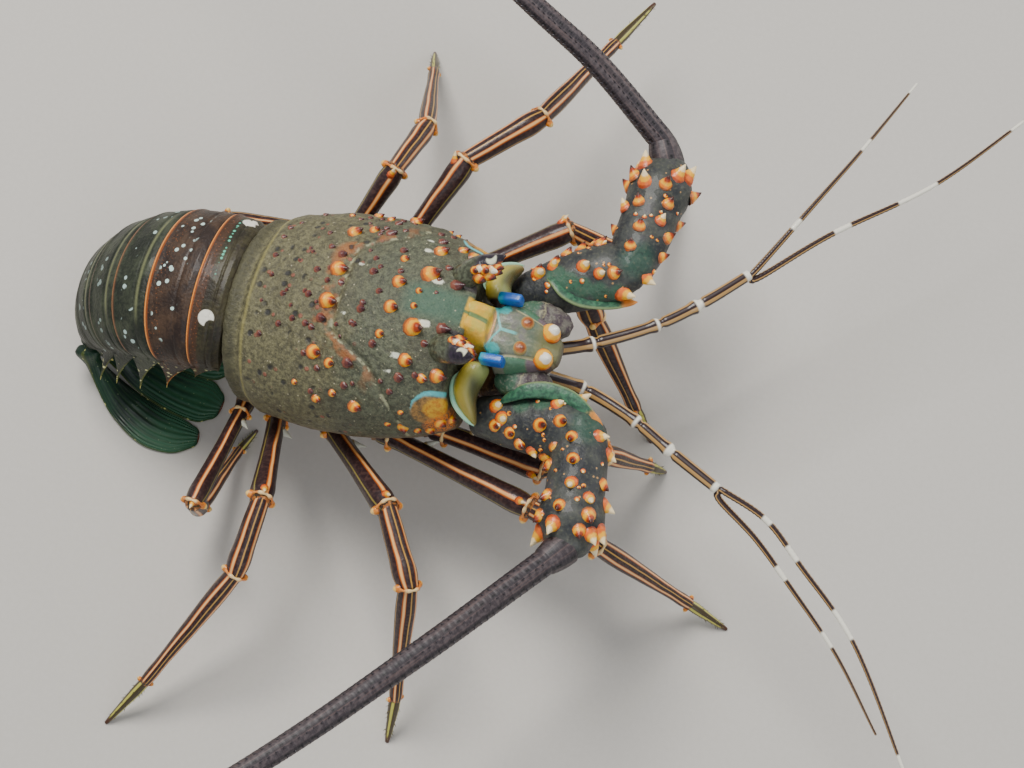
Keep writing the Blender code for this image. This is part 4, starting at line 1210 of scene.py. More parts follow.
# Fraction along the length, turn round it in degrees, height
ANTENNA_THORNS = {
    "left_base": (
        (0.24, 55, 3.0), (0.4, 48, 3.0), (0.5, 24, 3.4), (0.64, 85, 4.2), (0.62, 11, 3.8), (0.74, 11, 3.8),
        (0.8, 24, 4.0), (0.76, 107, 3.0), (0.88, 113, 3.8), (0.9, 168, 5.5), (0.88, -150, 5.0),
    ),
    "left_arm": (
        (0.3, -8, 3.6), (0.12, 76, 3.0), (0.31, 81, 3.4), (0.49, 24, 3.8), (0.54, 60, 3.4), (0.73, -4, 4.2),
        (0.79, 27, 4.4), (0.73, 61, 5.0), (0.93, 34, 5.6), (0.92, -12, 5.0), (0.93, 147, 5.6),
        (0.88, 118, 5.2), (0.75, 100, 3.8), (0.81, 180, 4.6), (0.6, 120, 3.4), (0.43, 118, 3.2),
        (0.53, -169, 3.8), (0.33, 152, 3.6), (0.16, 165, 3.4),
    ),
    "right_base": (
        (0.23, 125, 3.2), (0.39, 134, 3.0), (0.49, 156, 3.4), (0.6, 170, 3.2), (0.68, 109, 4.2),
        (0.72, -176, 4.0), (0.86, 96, 3.6), (0.78, 62, 3.4), (0.9, 12, 6.0), (0.84, 150, 3.4),
    ),
    "right_arm": (
        (0.36, 168, 3.6), (0.34, 101, 3.2), (0.14, 112, 3.0), (0.55, 99, 3.6), (0.49, 25, 3.6),
        (0.65, 150, 3.8), (0.76, 113, 3.4), (0.66, 61, 3.4), (0.64, 4, 5.0), (0.81, 59, 4.6),
        (0.82, 161, 3.8), (0.91, 126, 5.2), (0.94, 69, 4.0), (0.89, 14, 5.4), (0.92, -168, 6.6),
        (0.93, -132, 4.6), (0.94, 38, 5.0), (0.93, -30, 5.6), (0.94, -90, 5.6), (0.2, 8, 4.2),
    ),
}
# Knobs about the roots of the bases and arms: world point, height, width
CLUSTERS = {
    "left_base": (
        ((105.9, 30.7, 79.3), 4.0, 5.0), ((110.0, 34.5, 81.0), 3.4, 3.8), ((110.4, 26.5, 80.4), 0.9, 2.0),
        ((125.1, 47.4, 82.7), 1.8, 2.6),
    ),
    "left_arm": (
        ((144.5, 36.9, 81.6), 4.6, 5.0), ((135.0, 45.8, 87.7), 1.2, 2.6), ((146.1, 41.6, 81.9), 1.0, 2.0),
    ),
    "right_base": (
        ((105.5, -22.7, 79.2), 2.6, 4.8), ((108.7, -27.3, 80.2), 2.6, 4.4), ((106.9, -30.1, 79.8), 2.0, 3.2),
    ),
    "right_arm": (((144.2, -26.2, 86.2), 3.6, 4.4),),
}
# A thorn of each of these heights has the width below it, and the rest lie between
THORN_HEIGHTS = (0.4, 1.0, 3.0, 7.0)
THORN_WIDTHS = (1.1, 1.7, 3.8, 6.2)
THORN_PULL, LENGTHWAYS_LEAN = 0.9, 0.5
# Tall thorns and every fourth of the rest are pale, and so is a share of the sown ones
TALL, PALE_EVERY, PALE_SHARE = 4.9, 4, 0.4
# How many thorns are sown on a length, and the ranges of their fractions, turns and heights
SOWN_HERE, SOWN_FRACTIONS, SOWN_TURNS, LOW_HEIGHTS = 12, (0.15, 0.9), (20, 160), (0.4, 1.0)
# Places on the bases' upper inner sides that the green of the flanges spreads over
GREEN_PANELS = (
    (112.0, 30.5, 82.0), (117.0, 29.0, 82.6), (122.5, 28.4, 82.4), (128.5, 29.4, 81.6), (134.0, 31.4, 80.8),
    (113.0, -21.0, 84.5), (120.0, -18.6, 86.0),
)
ABOVE_ELBOW = (2.0, 0.0, 8.0)


def green_coats(paint, here):
    """Green over the elbows and beside the flanges."""
    coats = []
    for elbow in ANTENNA_ELBOW.values():
        bend = paint.near(here, tuple(np.add(elbow, ABOVE_ELBOW) - ORIGIN), 6.5, 6.0)
        coats.append((bend * 0.6, rgb(40, 84, 66)))
    for panel in GREEN_PANELS:
        patch = paint.near(here, tuple(np.subtract(panel, ORIGIN)), 3.8, 2.0)
        coats.append((patch * 0.75, rgb(52, 96, 72)))
    return coats


def antenna_paint():
    paint = Paint("antenna_slate", Coat_Weight=0.1, Specular_IOR_Level=0.35)
    here = paint.spot()
    cloud = paint.noise(here, 0.11, 3.0)
    fine = paint.noise(here, 0.8, 3.0)
    colour = paint.coats(
        paint.tones(cloud, 0.38, 0.62, rgb(44, 47, 50), rgb(70, 73, 68)),
        (paint.rise(cloud, 0.56, 0.7) * 0.45, rgb(72, 66, 78)),
        *green_coats(paint, here),
        (paint.rise(fine, 0.5, 0.75) * 0.35, rgb(112, 112, 92)),
        (paint.rise(fine, 0.42, 0.28) * 0.5, rgb(30, 28, 32)),
        (paint.dots(here, 0.24, 0.12, 0.08) * 0.8, rgb(196, 150, 92)),
    )
    return paint.finish(colour, 0.42 + fine * 0.2, fine, 0.3)


def antenna_thorn(piece, start, end, shape, fraction, turn, height):
    """Where a thorn stands on a stout length, leaning towards its far end."""
    start, end = np.array(start, float), np.array(end, float)
    along = unit(end - start)
    side, beside = cross_frame(along, np.cross(UP, along))
    angle = math.radians(turn)
    out = side * math.cos(angle) + beside * ANTENNA_DEPTH * math.sin(angle)
    root, normal = on_skin(piece, start + (end - start) * fraction + out * widths_at(shape, fraction) / 2)
    width = np.interp(height, THORN_HEIGHTS, THORN_WIDTHS)
    return stand(root, normal + along * LENGTHWAYS_LEAN, along, width, height * THORN_PULL)


def stout_length(name, start, end, shape):
    """A base or an arm with its thorns; their places go to the two lists that are planted later."""
    level = np.cross(UP, np.subtract(end, start))
    piece = wrap(f"antenna_{name}_skin", limb_grid(start, end, shape, level, ANTENNA_DEPTH, 60, 64, 0.3), 5.0)
    raise_granules(piece, -0.4, 3.4)
    finish(piece, slate_paint, "peduncle", f"antenna_{name}")
    for number, (fraction, turn, height) in enumerate(ANTENNA_THORNS[name], 1):
        chosen = pale_places if height > TALL or number % PALE_EVERY == 0 else fire_places
        chosen.append(antenna_thorn(piece, start, end, shape, fraction, turn, height))
    for _ in range(SOWN_HERE):
        fraction, turn = chance.uniform(*SOWN_FRACTIONS), chance.uniform(*SOWN_TURNS)
        chosen = pale_places if chance.uniform() < PALE_SHARE else fire_places
        chosen.append(antenna_thorn(piece, start, end, shape, fraction, turn, chance.uniform(*LOW_HEIGHTS)))
    for point, height, width in CLUSTERS[name]:
        pale_places.append(thorn_place(piece, point, width, height, WART_LEAN))


slate_paint = antenna_paint()
fire_places, pale_places = [], []
for name, _ in SIDES:
    stout_length(f"{name}_base", ANTENNA_BASE[name], ANTENNA_ELBOW[name], BASE_SHAPE)
    stout_length(f"{name}_arm", ANTENNA_ELBOW[name], ANTENNA_END[name], ARM_SHAPE)
sprout("antenna_fire_thorns", THORN, 12, fire_places, fire_paint, "peduncle")
sprout("antenna_pale_thorns", THORN, 12, pale_places, pale_paint, "peduncle")

# %% [markdown]
# ## The green flanges
# A thin crescent flange runs along the inner edge of each antenna's base and ends in a free point.
# It is a flattened tube along a curve: green, with a pale inner rim and an orange tip.

# %% The green flanges
FLANGES = {
    "left": (
        (107, 31.5, 79), (111.4, 29.0, 81), (116.3, 25.5, 80.8), (122.5, 24.6, 79.4), (129.6, 25.8, 78.2),
        (136.2, 28.0, 77), (142.6, 31.2, 76),
    ),
    "right": (
        (105.5, -22.4, 80.0), (108.6, -20.0, 82.6), (112.2, -18.0, 85.0), (115.6, -16.6, 86.2),
        (121.1, -15.2, 86.6), (126.2, -15.2, 86.6), (131.2, -16.0, 86.4), (137.5, -19.0, 85.6),
        (143.6, -22.0, 83.6),
    ),
}
FLANGE_WIDTHS = ((0.0, 0.3), (0.06, 2.4), (0.3, 5.6), (0.6, 5.6), (0.85, 3.6), (0.97, 1.6), (1.0, 0.2))
FLANGE_ROWS, FLANGE_COLUMNS, FLANGE_DEPTH = 80, 24, 0.42


def flange_paint():
    paint = Paint("antenna_flange", Roughness=0.45)
    turn, share, _ = paint.split(paint.uv())
    fine = paint.noise(paint.spot(), 0.7, 3.0)
    colour = paint.coats(
        paint.tones(fine, 0.35, 0.65, rgb(34, 74, 56), rgb(60, 110, 80)),
        (paint.rise((turn - 0.5).size(), 0.36, 0.44) * 0.75, rgb(138, 154, 104)),
        (paint.rise(share + fine * 0.1, 0.86, 0.94), rgb(214, 136, 54)),
    )
    return paint.finish(colour, None, fine, 0.25)


paint_for_flanges = flange_paint()
widths = widths_at(FLANGE_WIDTHS, np.linspace(0, 1, FLANGE_ROWS + 1))
for name, sign in SIDES:
    inward = np.array((0.0, -sign, 0.3))
    axis = evenly(FLANGES[name], FLANGE_ROWS + 1)
    grid = tube_grid(axis, widths, inward, FLANGE_COLUMNS, FLANGE_DEPTH)
    finish(wrap(f"antenna_{name}_flange", grid, 1.0), paint_for_flanges, "peduncle")

# %% [markdown]
# ## The antennae's whips
# Each antenna ends in a long stiff whip that tapers evenly. It is made of hundreds of short rings,
# every one a little wider at its far edge, with rows of fine thorns along it and dark bands
# of beads. A short foot, thicker than the whip, joins it to the arm.

# %% The whips
FLAGELLUM_PINS = {
    "left": (
        (135, 93, 84), (105, 110, 98), (76, 122, 109), (10, 152, 130), (-60, 190, 143), (-140, 250, 150),
    ),
    "right": (
        (137, -75, 83), (105, -122, 94), (67, -173, 104), (5, -245, 118), (-50, -310, 126), (-85, -372, 130),
    ),
}
FLAGELLUM_WIDTHS = (9.5, 8.3, 7.2, 5.3, 3.5, 1.4)
FLAGELLUM_ROWS, FLAGELLUM_COLUMNS = 900, 18
RINGLET, RIPPLE = 6, 0.025
FOOT_ROWS, FOOT_WIDTHS = 23, (13.0, 12.4, 10.2)
CLOSING_WIDTHS, TIP_WIDTH = (1.0, 9.0, 12.5), 0.2
# The fine thorns: their profile, the rows they stand on, and their places round the whip
SPINULE = (((-0.2, 0.5), (0.3, 0.35), (1.0, 0.03)), 0.0)
SPINULE_ROWS = range(6, FLAGELLUM_ROWS - 60, 7)
SPINULE_TURNS = (0.3, 1.25, 2.2, 4.0, 5.2)


def flagellum_paint():
    paint = Paint("flagellum", Roughness=0.5)
    turn, length, _ = paint.split(paint.uv())
    ringlets = (length * 6.0).part()
    row = (turn * 6.0).part()
    fine = paint.noise(paint.spot(), 0.7, 2.0)
    long_streak = paint.noise(paint.point(turn * 40.0, length * 0.25), 1.0, 2.0)
    beads = paint.line(row, 0.5, 0.07, 0.05) * paint.line((length * 1.5).part(), 0.5, 0.16, 0.08)
    colour = paint.coats(
        paint.tones(fine, 0.4, 0.65, rgb(58, 50, 54), rgb(84, 74, 76)),
        (paint.rise(long_streak, 0.5, 0.65) * 0.5, rgb(104, 84, 80)),
        (paint.line(row, 0.5, 0.2, 0.1) * 0.7, rgb(32, 29, 36)),
        (beads, rgb(10, 9, 14)),
        (paint.rise(ringlets, 0.82, 0.95) * 0.15, rgb(120, 112, 110)),
    )
    return paint.finish(colour, None, ringlets, 0.06)


def whip_grid(foot_start, path, widths, level):
    """The whip's rippled rings, with the foot's before them."""
    fractions = np.linspace(0, 1, FOOT_ROWS + 1)[:-1]
    foot = fractions[:, None] * (path[0] - np.array(foot_start)) + foot_start
    ripple = 1 + RIPPLE * ((np.arange(len(path)) % RINGLET) / (RINGLET - 1) - 0.5)
    swell = np.concatenate((smooth((0, 0.5, 1), FOOT_WIDTHS, fractions), widths * ripple))
    swell[:3] = CLOSING_WIDTHS
    swell[-1] = TIP_WIDTH
    return tube_grid(np.concatenate((foot, path)), swell, level, FLAGELLUM_COLUMNS)


def spinule_places(path, widths, level):
    places = []
    for k in SPINULE_ROWS:
        way = unit(path[k + 1] - path[k])
        side, beside = cross_frame(way, level)
        small = widths[k] / 10
        for turn in SPINULE_TURNS:
            out = side * math.cos(turn) + beside * math.sin(turn)
            root = path[k] + out * widths[k] * 0.47
            places.append(stand(root, out + way * 1.1, way, 0.9 * small + 0.2, 1.6 * small + 0.2))
    return places


paint_for_whips = flagellum_paint()
spinule_paint = thorn_paint("whip_thorn", (-0.2, rgb(56, 50, 56)), (0.4, rgb(34, 30, 36)))
spinules = []
for name, _ in SIDES:
    path = evenly(FLAGELLUM_PINS[name], FLAGELLUM_ROWS + 1)
    shares = np.linspace(0, 1, FLAGELLUM_ROWS + 1)
    widths = np.interp(shares, np.linspace(0, 1, len(FLAGELLUM_WIDTHS)), FLAGELLUM_WIDTHS)
    level = np.cross(UP, path[40] - path[0])
    whip = wrap(f"flagellum_{name}_skin", whip_grid(ANTENNA_END[name], path, widths, level), 50.0)
    finish(whip, paint_for_whips, "flagellum", *(f"flagellum_{name}_{k}" for k in (1, 2, 3)))
    spinules += spinule_places(path, widths, level)
sprout("flagellum_spinules", SPINULE, 5, spinules, spinule_paint, "flagellum")

# %% [markdown]
# ## The small feelers
# The antennules are two slim jointed stalks, each ending in an outer and an inner whip. They are
# dark maroon with cream lines along them and bright white bands.

# %% The antennules
ANTENNULE = {
    "left": {
        "stalk": ((117, 5, 74), (130, 14, 68), (150, 27, 68), (165, 41, 68), (179, 57, 68)),
        "outer": ((179, 57, 68), (181, 60, 68.5), (194, 88, 70), (207, 117, 70), (221, 150, 72)),
        "inner": (
            (179, 57, 68), (182, 57, 66.5), (204, 82, 66), (236, 112, 66), (262, 146, 67), (278, 168, 68),
        ),
    },
    "right": {
        "stalk": ((117, -5, 74), (132, -3, 66), (151, -9, 66), (169, -18, 66), (188, -27, 66)),
        "outer": (
            (188, -27, 66), (191, -27.5, 66.5), (207, -33, 65), (222, -45, 63), (247, -67, 60),
            (273, -105, 58), (283, -122, 58),
        ),
        "inner": (
            (188, -27, 66), (189.5, -30, 64), (205, -39, 60), (220, -51, 57), (242, -70, 53), (262, -94, 52),
        ),
    },
}
STALK_WIDTHS = (5.2, 4.8, 4.4, 4.4, 4.0)
STALK_JOINTS = (0.22, 0.52, 0.72)
STALK_ROWS, STALK_COLUMNS, STALK_END = 120, 20, 0.3
FEELER_WIDTH, FEELER_TIP = 2.6, 0.9
FEELER_ROWS, FEELER_COLUMNS, FEELER_END = 240, 12, 0.2
# Half widths of the cream lines, as shares of the space between them
STALK_CREAM, FEELER_CREAM = 0.2, 0.12
# Where the white bands start and end along each stalk or whip, in centimetres
WHITE_BANDS = {
    "left_stalk": ((0.0, 0.12), (1.68, 1.82), (4.18, 4.3), (5.82, 6.1), (8.0, 8.4)),
    "left_outer": ((2.4, 2.9), (6.66, 7.24), (9.7, 10.3)),
    "left_inner": ((3.99, 4.71), (6.74, 8.46), (12.12, 12.8)),
    "right_stalk": ((0.0, 0.12), (1.6, 1.74), (3.95, 4.07), (5.5, 5.75), (7.6, 8.0)),
    "right_outer": ((1.85, 2.23), (3.18, 3.82), (5.92, 7.12), (11.36, 11.9)),
    "right_inner": ((3.47, 4.06), (6.25, 6.89)),
}


def antennule_paint(name, bands, cream):
    """Cream lines on dark maroon, with white bands from one place along to another, in centimetres."""
    paint = Paint(name, Roughness=0.35, Coat_Weight=0.2)
    turn, length, _ = paint.split(paint.uv())
    stripe = paint.line((turn * 4.0).part(), 0.5, cream, 0.1)
    colour = paint.mix(stripe, rgb(40, 20, 22), rgb(186, 146, 88))
    for first, last in bands:
        colour = paint.mix(paint.line(length, (first + last) / 2, (last - first) / 2, 0.1), colour, WHITE)
    return paint.finish(colour)


def feeler(name, path, widths, columns, cream):
    """One stalk or whip of an antennule, with its own bands."""
    grid = tube_grid(path, widths, np.cross(UP, path[-1] - path[0]), columns)
    piece = wrap(f"antennule_{name}_skin", grid, length_of(path) / 10)
    paint = antennule_paint(f"antennule_{name}", WHITE_BANDS[name], cream)
    finish(piece, paint, "antennule", f"antennule_{name}")


def stalk_widths():
    """The stalk's widths, swelling before each joint and pinched after it."""
    share = np.linspace(0, 1, STALK_ROWS + 1)
    widths = np.interp(share, np.linspace(0, 1, len(STALK_WIDTHS)), STALK_WIDTHS)
    for joint in STALK_JOINTS:
        swelling = 0.22 * hump(share, joint - 0.02, 0.02)
        widths = widths * (1 + swelling - 0.3 * hump(share, joint + 0.012, 0.01))
    widths[0], widths[-1] = STALK_END, STALK_END
    return widths


def feeler_widths():
    """A whip's widths: an even taper of short rings."""
    ringed = 1 + 0.06 * ((np.arange(FEELER_ROWS + 1) % 3) - 1)
    widths = np.linspace(FEELER_WIDTH, FEELER_TIP, FEELER_ROWS + 1) * ringed
    widths[0], widths[-1] = FEELER_END, FEELER_END
    return widths


for name, _ in SIDES:
    path = evenly(ANTENNULE[name]["stalk"], STALK_ROWS + 1)
    feeler(f"{name}_stalk", path, stalk_widths(), STALK_COLUMNS, STALK_CREAM)
    for whip in ("outer", "inner"):
        path = evenly(ANTENNULE[name][whip], FEELER_ROWS + 1)
        feeler(f"{name}_{whip}", path, feeler_widths(), FEELER_COLUMNS, FEELER_CREAM)

# %% [markdown]
# ## The tail's rings
# The tail is six hoops of shell that slide under each other as it curls down. Each is drawn from
# its own sections, square to the crest's curve, and reaches down at each side in a pointed side
# plate. The front of each hoop is sunk so that it passes under the one before it.

# %% The tail's hoops
# Length along the crest, and how far the crest has turned down at the rear edge
SOMITES = ((13.0, 10.0), (20.0, 26.0), (18.0, 40.0), (17.0, 53.0), (16.0, 68.0), (19.0, 94.0))
TAIL_START = (-0.3, 0.0, 81.0)
TAIL_HALF_WIDTHS = (30.0, 31.0, 31.0, 29.5, 27.5, 25.0, 21.0)
TAIL_ARCH = (21.0, 21.5, 21.0, 20.0, 18.5, 17.0, 13.0)
SIDE_PLATE_TIPS = (
    (-13.0, 27.0, 36.0), (-23.5, 32.0, 30.5), (-34.0, 34.5, 28.0), (-44.0, 34.5, 27.0), (-51.5, 34.0, 24.0),
    (-50.5, 24.0, 20.5),
)
SIDE_PLATE_SHAPE = ((0.0, 0.25, 0.6, 0.88, 1.0), (0.0, 0.4, 1.0, 0.4, 0.0))
HOOP_ARCH_PINS = 17
HOOP_ROWS, HOOP_COLUMNS = 56, 150
TUCK = 0.12
CREST_TURN = 8 / 25
HOOP_ENDS = np.concatenate(([0.0], np.cumsum([length for length, _ in SOMITES])))


def tail_crest(distance):
    """The crest's point and its turn at a distance from the tail's start."""
    turns = np.radians(np.concatenate(([0.0], [turn for _, turn in SOMITES])))
    steps = np.linspace(0, distance, 60)
    angles = np.interp(steps, HOOP_ENDS, turns)
    middle = (angles[1:] + angles[:-1]) / 2
    width = np.diff(steps)
    x, _, z = TAIL_START
    point = np.array((x - np.sum(np.cos(middle) * width), 0.0, z - np.sum(np.sin(middle) * width)))
    return point, float(np.interp(distance, HOOP_ENDS, turns))


def hoop_ring(distance, tip, share):
    half_width = np.interp(distance, HOOP_ENDS, TAIL_HALF_WIDTHS)
    arch = np.interp(distance, HOOP_ENDS, TAIL_ARCH)
    crest, turn = tail_crest(distance)
    inward = np.array((math.sin(turn), 0.0, -math.cos(turn)))
    across = SIDEWAYS
    turns = np.linspace(0, math.pi, HOOP_ARCH_PINS)
    ring = [crest + inward * arch * (1 - math.sin(t)) - across * half_width * math.cos(t) for t in turns]
    hinge = crest + inward * arch + across * half_width
    reach = (np.array(tip) - hinge) * share
    left = [
        hinge + reach * 0.5 + inward * 0.9 + across * 0.4,
        hinge + reach + inward * 1.8 - across * 0.7,
        hinge + reach * 0.3 + inward * 1.5 - across * (0.12 * half_width),
        crest + inward * (arch + 1.0) + across * (0.45 * half_width),
    ]
    return np.array(ring + left + [point * (1, -1, 1) for point in reversed(left)])


def hoop(number):
    """One ring of the tail, closed at both ends, with its sunk front and raised rear edge."""
    length = SOMITES[number - 1][0]
    tip = SIDE_PLATE_TIPS[number - 1]
    fractions = np.linspace(-TUCK, 1.0, HOOP_ROWS + 1)
    shares = np.interp(fractions, *SIDE_PLATE_SHAPE)
    rings = []
    for fraction, share in zip(fractions, shares):
        distance = HOOP_ENDS[number - 1] + length * fraction
        rings.append(round_ring(hoop_ring(distance, tip, share), HOOP_COLUMNS))
    grid = np.array(rings)
    place = fractions[:, None]
    height = -1.5 * np.clip(1 - (place + TUCK) / (TUCK + 0.1), 0, 1) - 0.35 * hump(place, 0.3, 0.03)
    height = height + 0.4 * hump(place, 0.88, 0.07) - 0.8 * hump(place, 1.0, 0.02)
    turn = np.linspace(0, 1, HOOP_COLUMNS + 1)[None, :]
    upper = np.clip((0.33 - abs(turn - CREST_TURN)) / 0.04, 0, 1)
    grid = raised(grid, height * upper)
    ends = [drawn_to(grid[0]), grid[0] * 0.3 + drawn_to(grid[0]) * 0.7]
    others = [grid[-1] * 0.3 + drawn_to(grid[-1]) * 0.7, drawn_to(grid[-1])]
    grid = np.concatenate((ends, grid, others))
    piece = wrap(f"abdomen_{number}_skin", grid, 1.0)
    rows = HOOP_ROWS + 4
    set_uv(piece, lambda uv: uv * (1, rows * (1 + TUCK) / HOOP_ROWS) - (0, 2 * (1 + TUCK) / HOOP_ROWS + TUCK))
    return piece


def drawn_to(ring):
    return np.broadcast_to(ring.mean(axis=0), ring.shape)


# %% [markdown]
# ## Paint for the tail
# The hoops are dark olive brown. The first two have an orange line along the rear edge with a red
# brown band before it, and the line's bright middle is a painted highlight. The second is strewn with
# pale blue dots, and the side plates have orange edges and pale tips. The map's U finds the crest and
# the side plates; V finds the rear edge.

# %% The tail's paint
LEFT_TIP, RIGHT_TIP = 18 / 25, 23 / 25
CRESCENTS = ((-5.3, -18.0, 76.6), (-3.0, 24.4, 72.2))
CRESCENT_BITE = np.array((2.4, -2.2, -1.6))
# The hoops' dark and light grounds: olive, then maroon brown, then grey green
TAIL_GROUNDS = {1: (rgb(36, 35, 24), rgb(68, 64, 42)), 2: (rgb(40, 30, 26), rgb(76, 58, 44))}
TAIL_GREEN = (rgb(30, 35, 28), rgb(64, 70, 54))
ORANGE_LINE = {1: 1.0, 2: 1.0, 3: 0.3}
SPOT_ZONES = {2: (0.52, 0.26), 3: (0.5, 0.2)}
SPOT_STRENGTH = {1: 0.0, 2: 1.0, 3: 0.8}


def ground_coats(paint, number, turn, place):
    """Clouds across the hoop, and a warmer band towards the rear of the first."""
    across = paint.rise(paint.noise(paint.point(turn * 3.0, place * 9.0), 3.0, 3.0), 0.4, 0.65)
    coats = [(across * 0.45, rgb(40, 46, 34) if number > 2 else rgb(48, 34, 26))]
    if number == 1:
        coats.append((paint.rise(place, 0.56, 0.66) * 0.8, rgb(72, 46, 32)))
    return coats


def band_coats(paint, number, here, place, side):
    """Orange flecks or a pale streak, the orange line at the rear edge with a painted highlight, and the
    black edge itself.
    """
    coats = []
    if number < 3:
        flecks = paint.dots(here, 0.9, 0.3, 0.15) * paint.line(place, 0.74, 0.14, 0.1)
        coats.append((flecks * 0.35, rgb(168, 98, 46)))
    else:
        streak = paint.line(place, 0.2, 0.035, 0.06) * paint.rise(side, 0.2, 0.1)
        coats.append((streak * 0.5, rgb(140, 144, 100)))
    reach = paint.rise(side, 0.31, 0.27)
    strength = ORANGE_LINE.get(number, 0.1)
    coats.append((paint.line(place, 0.915, 0.045, 0.04) * reach * strength * 0.85, rgb(150, 78, 30)))
    # Painted highlight: the bright thin middle of the orange line.
    coats.append((paint.line(place, 0.935, 0.02, 0.02) * reach * strength, rgb(232, 150, 70)))
    coats.append((paint.rise(place, 0.965, 0.985), rgb(16, 16, 20)))
    return coats


def dot_coats(paint, number, here, place, side):
    """Pale blue dots in a zone of the hoop."""
    middle, reach = SPOT_ZONES.get(number, (0.5, 0.16))
    spots = paint.dots(here, 0.3, 0.3, 0.24)
    wanted = paint.rise(paint.noise(here, 0.08, 0.0), 0.42, 0.48)
    zone = paint.line(place, middle, reach, 0.06) * paint.rise(side, 0.36, 0.3)
    return [(spots * zone * wanted * SPOT_STRENGTH.get(number, 0.4), rgb(196, 222, 214))]


def first_hoop_coats(paint, here, turn, place):
    """A row of turquoise beads on the left, and a white crescent at each side."""
    beads = paint.dots(here, 0.6, 0.42, 0.3, 0.25)
    leftward = turn - CREST_TURN
    row = paint.line(place, 0.5, 0.05, 0.04) * paint.rise(leftward, -0.03, 0.0)
    row = row * paint.rise(leftward, 0.2, 0.17)
    coats = [(row * beads, rgb(96, 190, 158))]
    for centre in CRESCENTS:
        disc = np.array(centre) - ORIGIN
        coats.append((paint.crescent(here, tuple(disc), 3.0, tuple(disc + CRESCENT_BITE), 2.5, 0.5), WHITE))
    return coats


def side_plate_coats(paint, number, here, turn, place):
    """The side plates' coloured edges, the pale dots beside them and the pale tips."""
    x, y, z = paint.split(here)
    mirrored = paint.point(x, (y + float(ORIGIN[1])).size(), z)
    outline, beside = (
        (paint.line(turn, LEFT_TIP, reach, soft) + paint.line(turn, RIGHT_TIP, reach, soft)).least(1.0)
        for reach, soft in ((0.022, 0.016), (0.06, 0.03))
    )
    edge_colour = rgb(196, 122, 50) if number < 3 else rgb(112, 116, 58)
    tip = tuple(np.array(SIDE_PLATE_TIPS[number - 1]) - ORIGIN * (1, 0, 1))
    return [
        (outline * 0.85 * paint.rise(place, 0.1, 0.2), edge_colour),
        (paint.dots(here, 0.42, 0.3, 0.22, 0.9) * beside, rgb(226, 224, 160)),
        (paint.near(mirrored, tip, 2.6, 1.2), rgb(232, 220, 130)),
    ]


def tail_paint(number):
    paint = Paint(f"tail_{number}", Coat_Weight=0.1, Specular_IOR_Level=0.3)
    turn, place, _ = paint.split(paint.uv())
    here = paint.spot()
    side = (turn - CREST_TURN).size()
    cloud = paint.noise(here, 0.12, 3.0)
    fine = paint.noise(here, 0.9, 3.0)
    coats = ground_coats(paint, number, turn, place)
    coats += band_coats(paint, number, here, place, side)
    coats += dot_coats(paint, number, here, place, side)
    if number == 1:
        coats += first_hoop_coats(paint, here, turn, place)
    coats += side_plate_coats(paint, number, here, turn, place)
    ground = paint.tones(cloud + fine * 0.5, 0.6, 0.95, *TAIL_GROUNDS.get(number, TAIL_GREEN))
    return paint.finish(paint.coats(ground, *coats), 0.42 + fine * 0.2, fine + cloud, 0.3)


for number in range(1, 7):
    finish(hoop(number), tail_paint(number), "tail", f"abdomen_{number}")

# %% [markdown]
# ## The tail fan
# The fan is five thin plates, one in the middle and two at each side, that close under the body.
# Each is a flattened limb with fine ribs running out to its edge, and a fringe of stiff hairs.

# %% The fan's plates
# Rows from the hinge outwards: the middle, the half width and the thickness
FAN_PLATES = {
    "telson": (
        ((-59, 0, 18.5), 9.0, 11.0),
        ((-58, 0, 12), 9.5, 10.0),
        ((-51, 0, 5.2), 9.7, 8.0),
        ((-40, 0, 2.2), 10.6, 4.8),
        ((-25, 0, 1.35), 13.3, 3.0),
        ((-14, 0, 0.95), 13.0, 2.2),
        ((-9, 0, 0.7), 9.0, 1.6),
    ),
    "inner": (
        ((-60, 13.6, 18.0), 3.8, 9.0),
        ((-57, 14.5, 11), 4.0, 8.0),
        ((-50, 15.8, 4.8), 5.2, 7.0),
        ((-40, 18.6, 1.8), 7.3, 4.0),
        ((-26, 22.2, 1.25), 8.2, 2.8),
        ((-15, 23.2, 0.85), 8.6, 2.0),
        ((-10, 23.6, 0.7), 6.0, 1.6),
    ),
    "outer": (
        ((-61.5, 20.5, 17.0), 1.9, 7.0),
        ((-59, 22.5, 10), 2.8, 6.0),
        ((-53, 27.0, 4.6), 4.6, 5.4),
        ((-43.5, 33.2, 1.7), 6.6, 3.8),
        ((-31, 38.7, 1.25), 7.9, 2.8),
        ((-21, 39.7, 0.85), 7.2, 2.0),
        ((-14.5, 38.6, 0.7), 4.4, 1.6),
    ),
}
FAN_SECTION = (
    (-1, -0.35), (-0.6, -1), (0.6, -1), (1, -0.35), (1, 0.1), (0.5, 1), (-0.5, 1), (-1, 0.1),
)
# How far along the rows each ring lies; the last three round off the free edge
FAN_STATIONS = (0.0, 0.2, 1, 2, 3, 4, 5, 6, 6.3, 6.55, 6.7)
FAN_EDGE = ((0.8, 1.6), (0.45, 2.6), (0.03, 2.9))
FAN_ROWS, FAN_COLUMNS, FAN_RIBS = 90, 156, 26


def fan_rings(rows, sign):
    centres = np.array([row[0] for row in rows], float) * (1, sign, 1)
    ways = unit(np.gradient(centres, axis=0))
    rings = []
    for centre, way, (_, half_width, thickness) in zip(centres, ways, rows):
        side, _ = cross_frame(way, SIDEWAYS)
        up = np.cross(way, side)
        up = up if up[2] > 0 or abs(up[2]) < 0.3 and up[0] > 0 else -up
        rings.append([centre + side * half_width * a + up * thickness / 2 * b for a, b in FAN_SECTION])
    return np.array(rings)


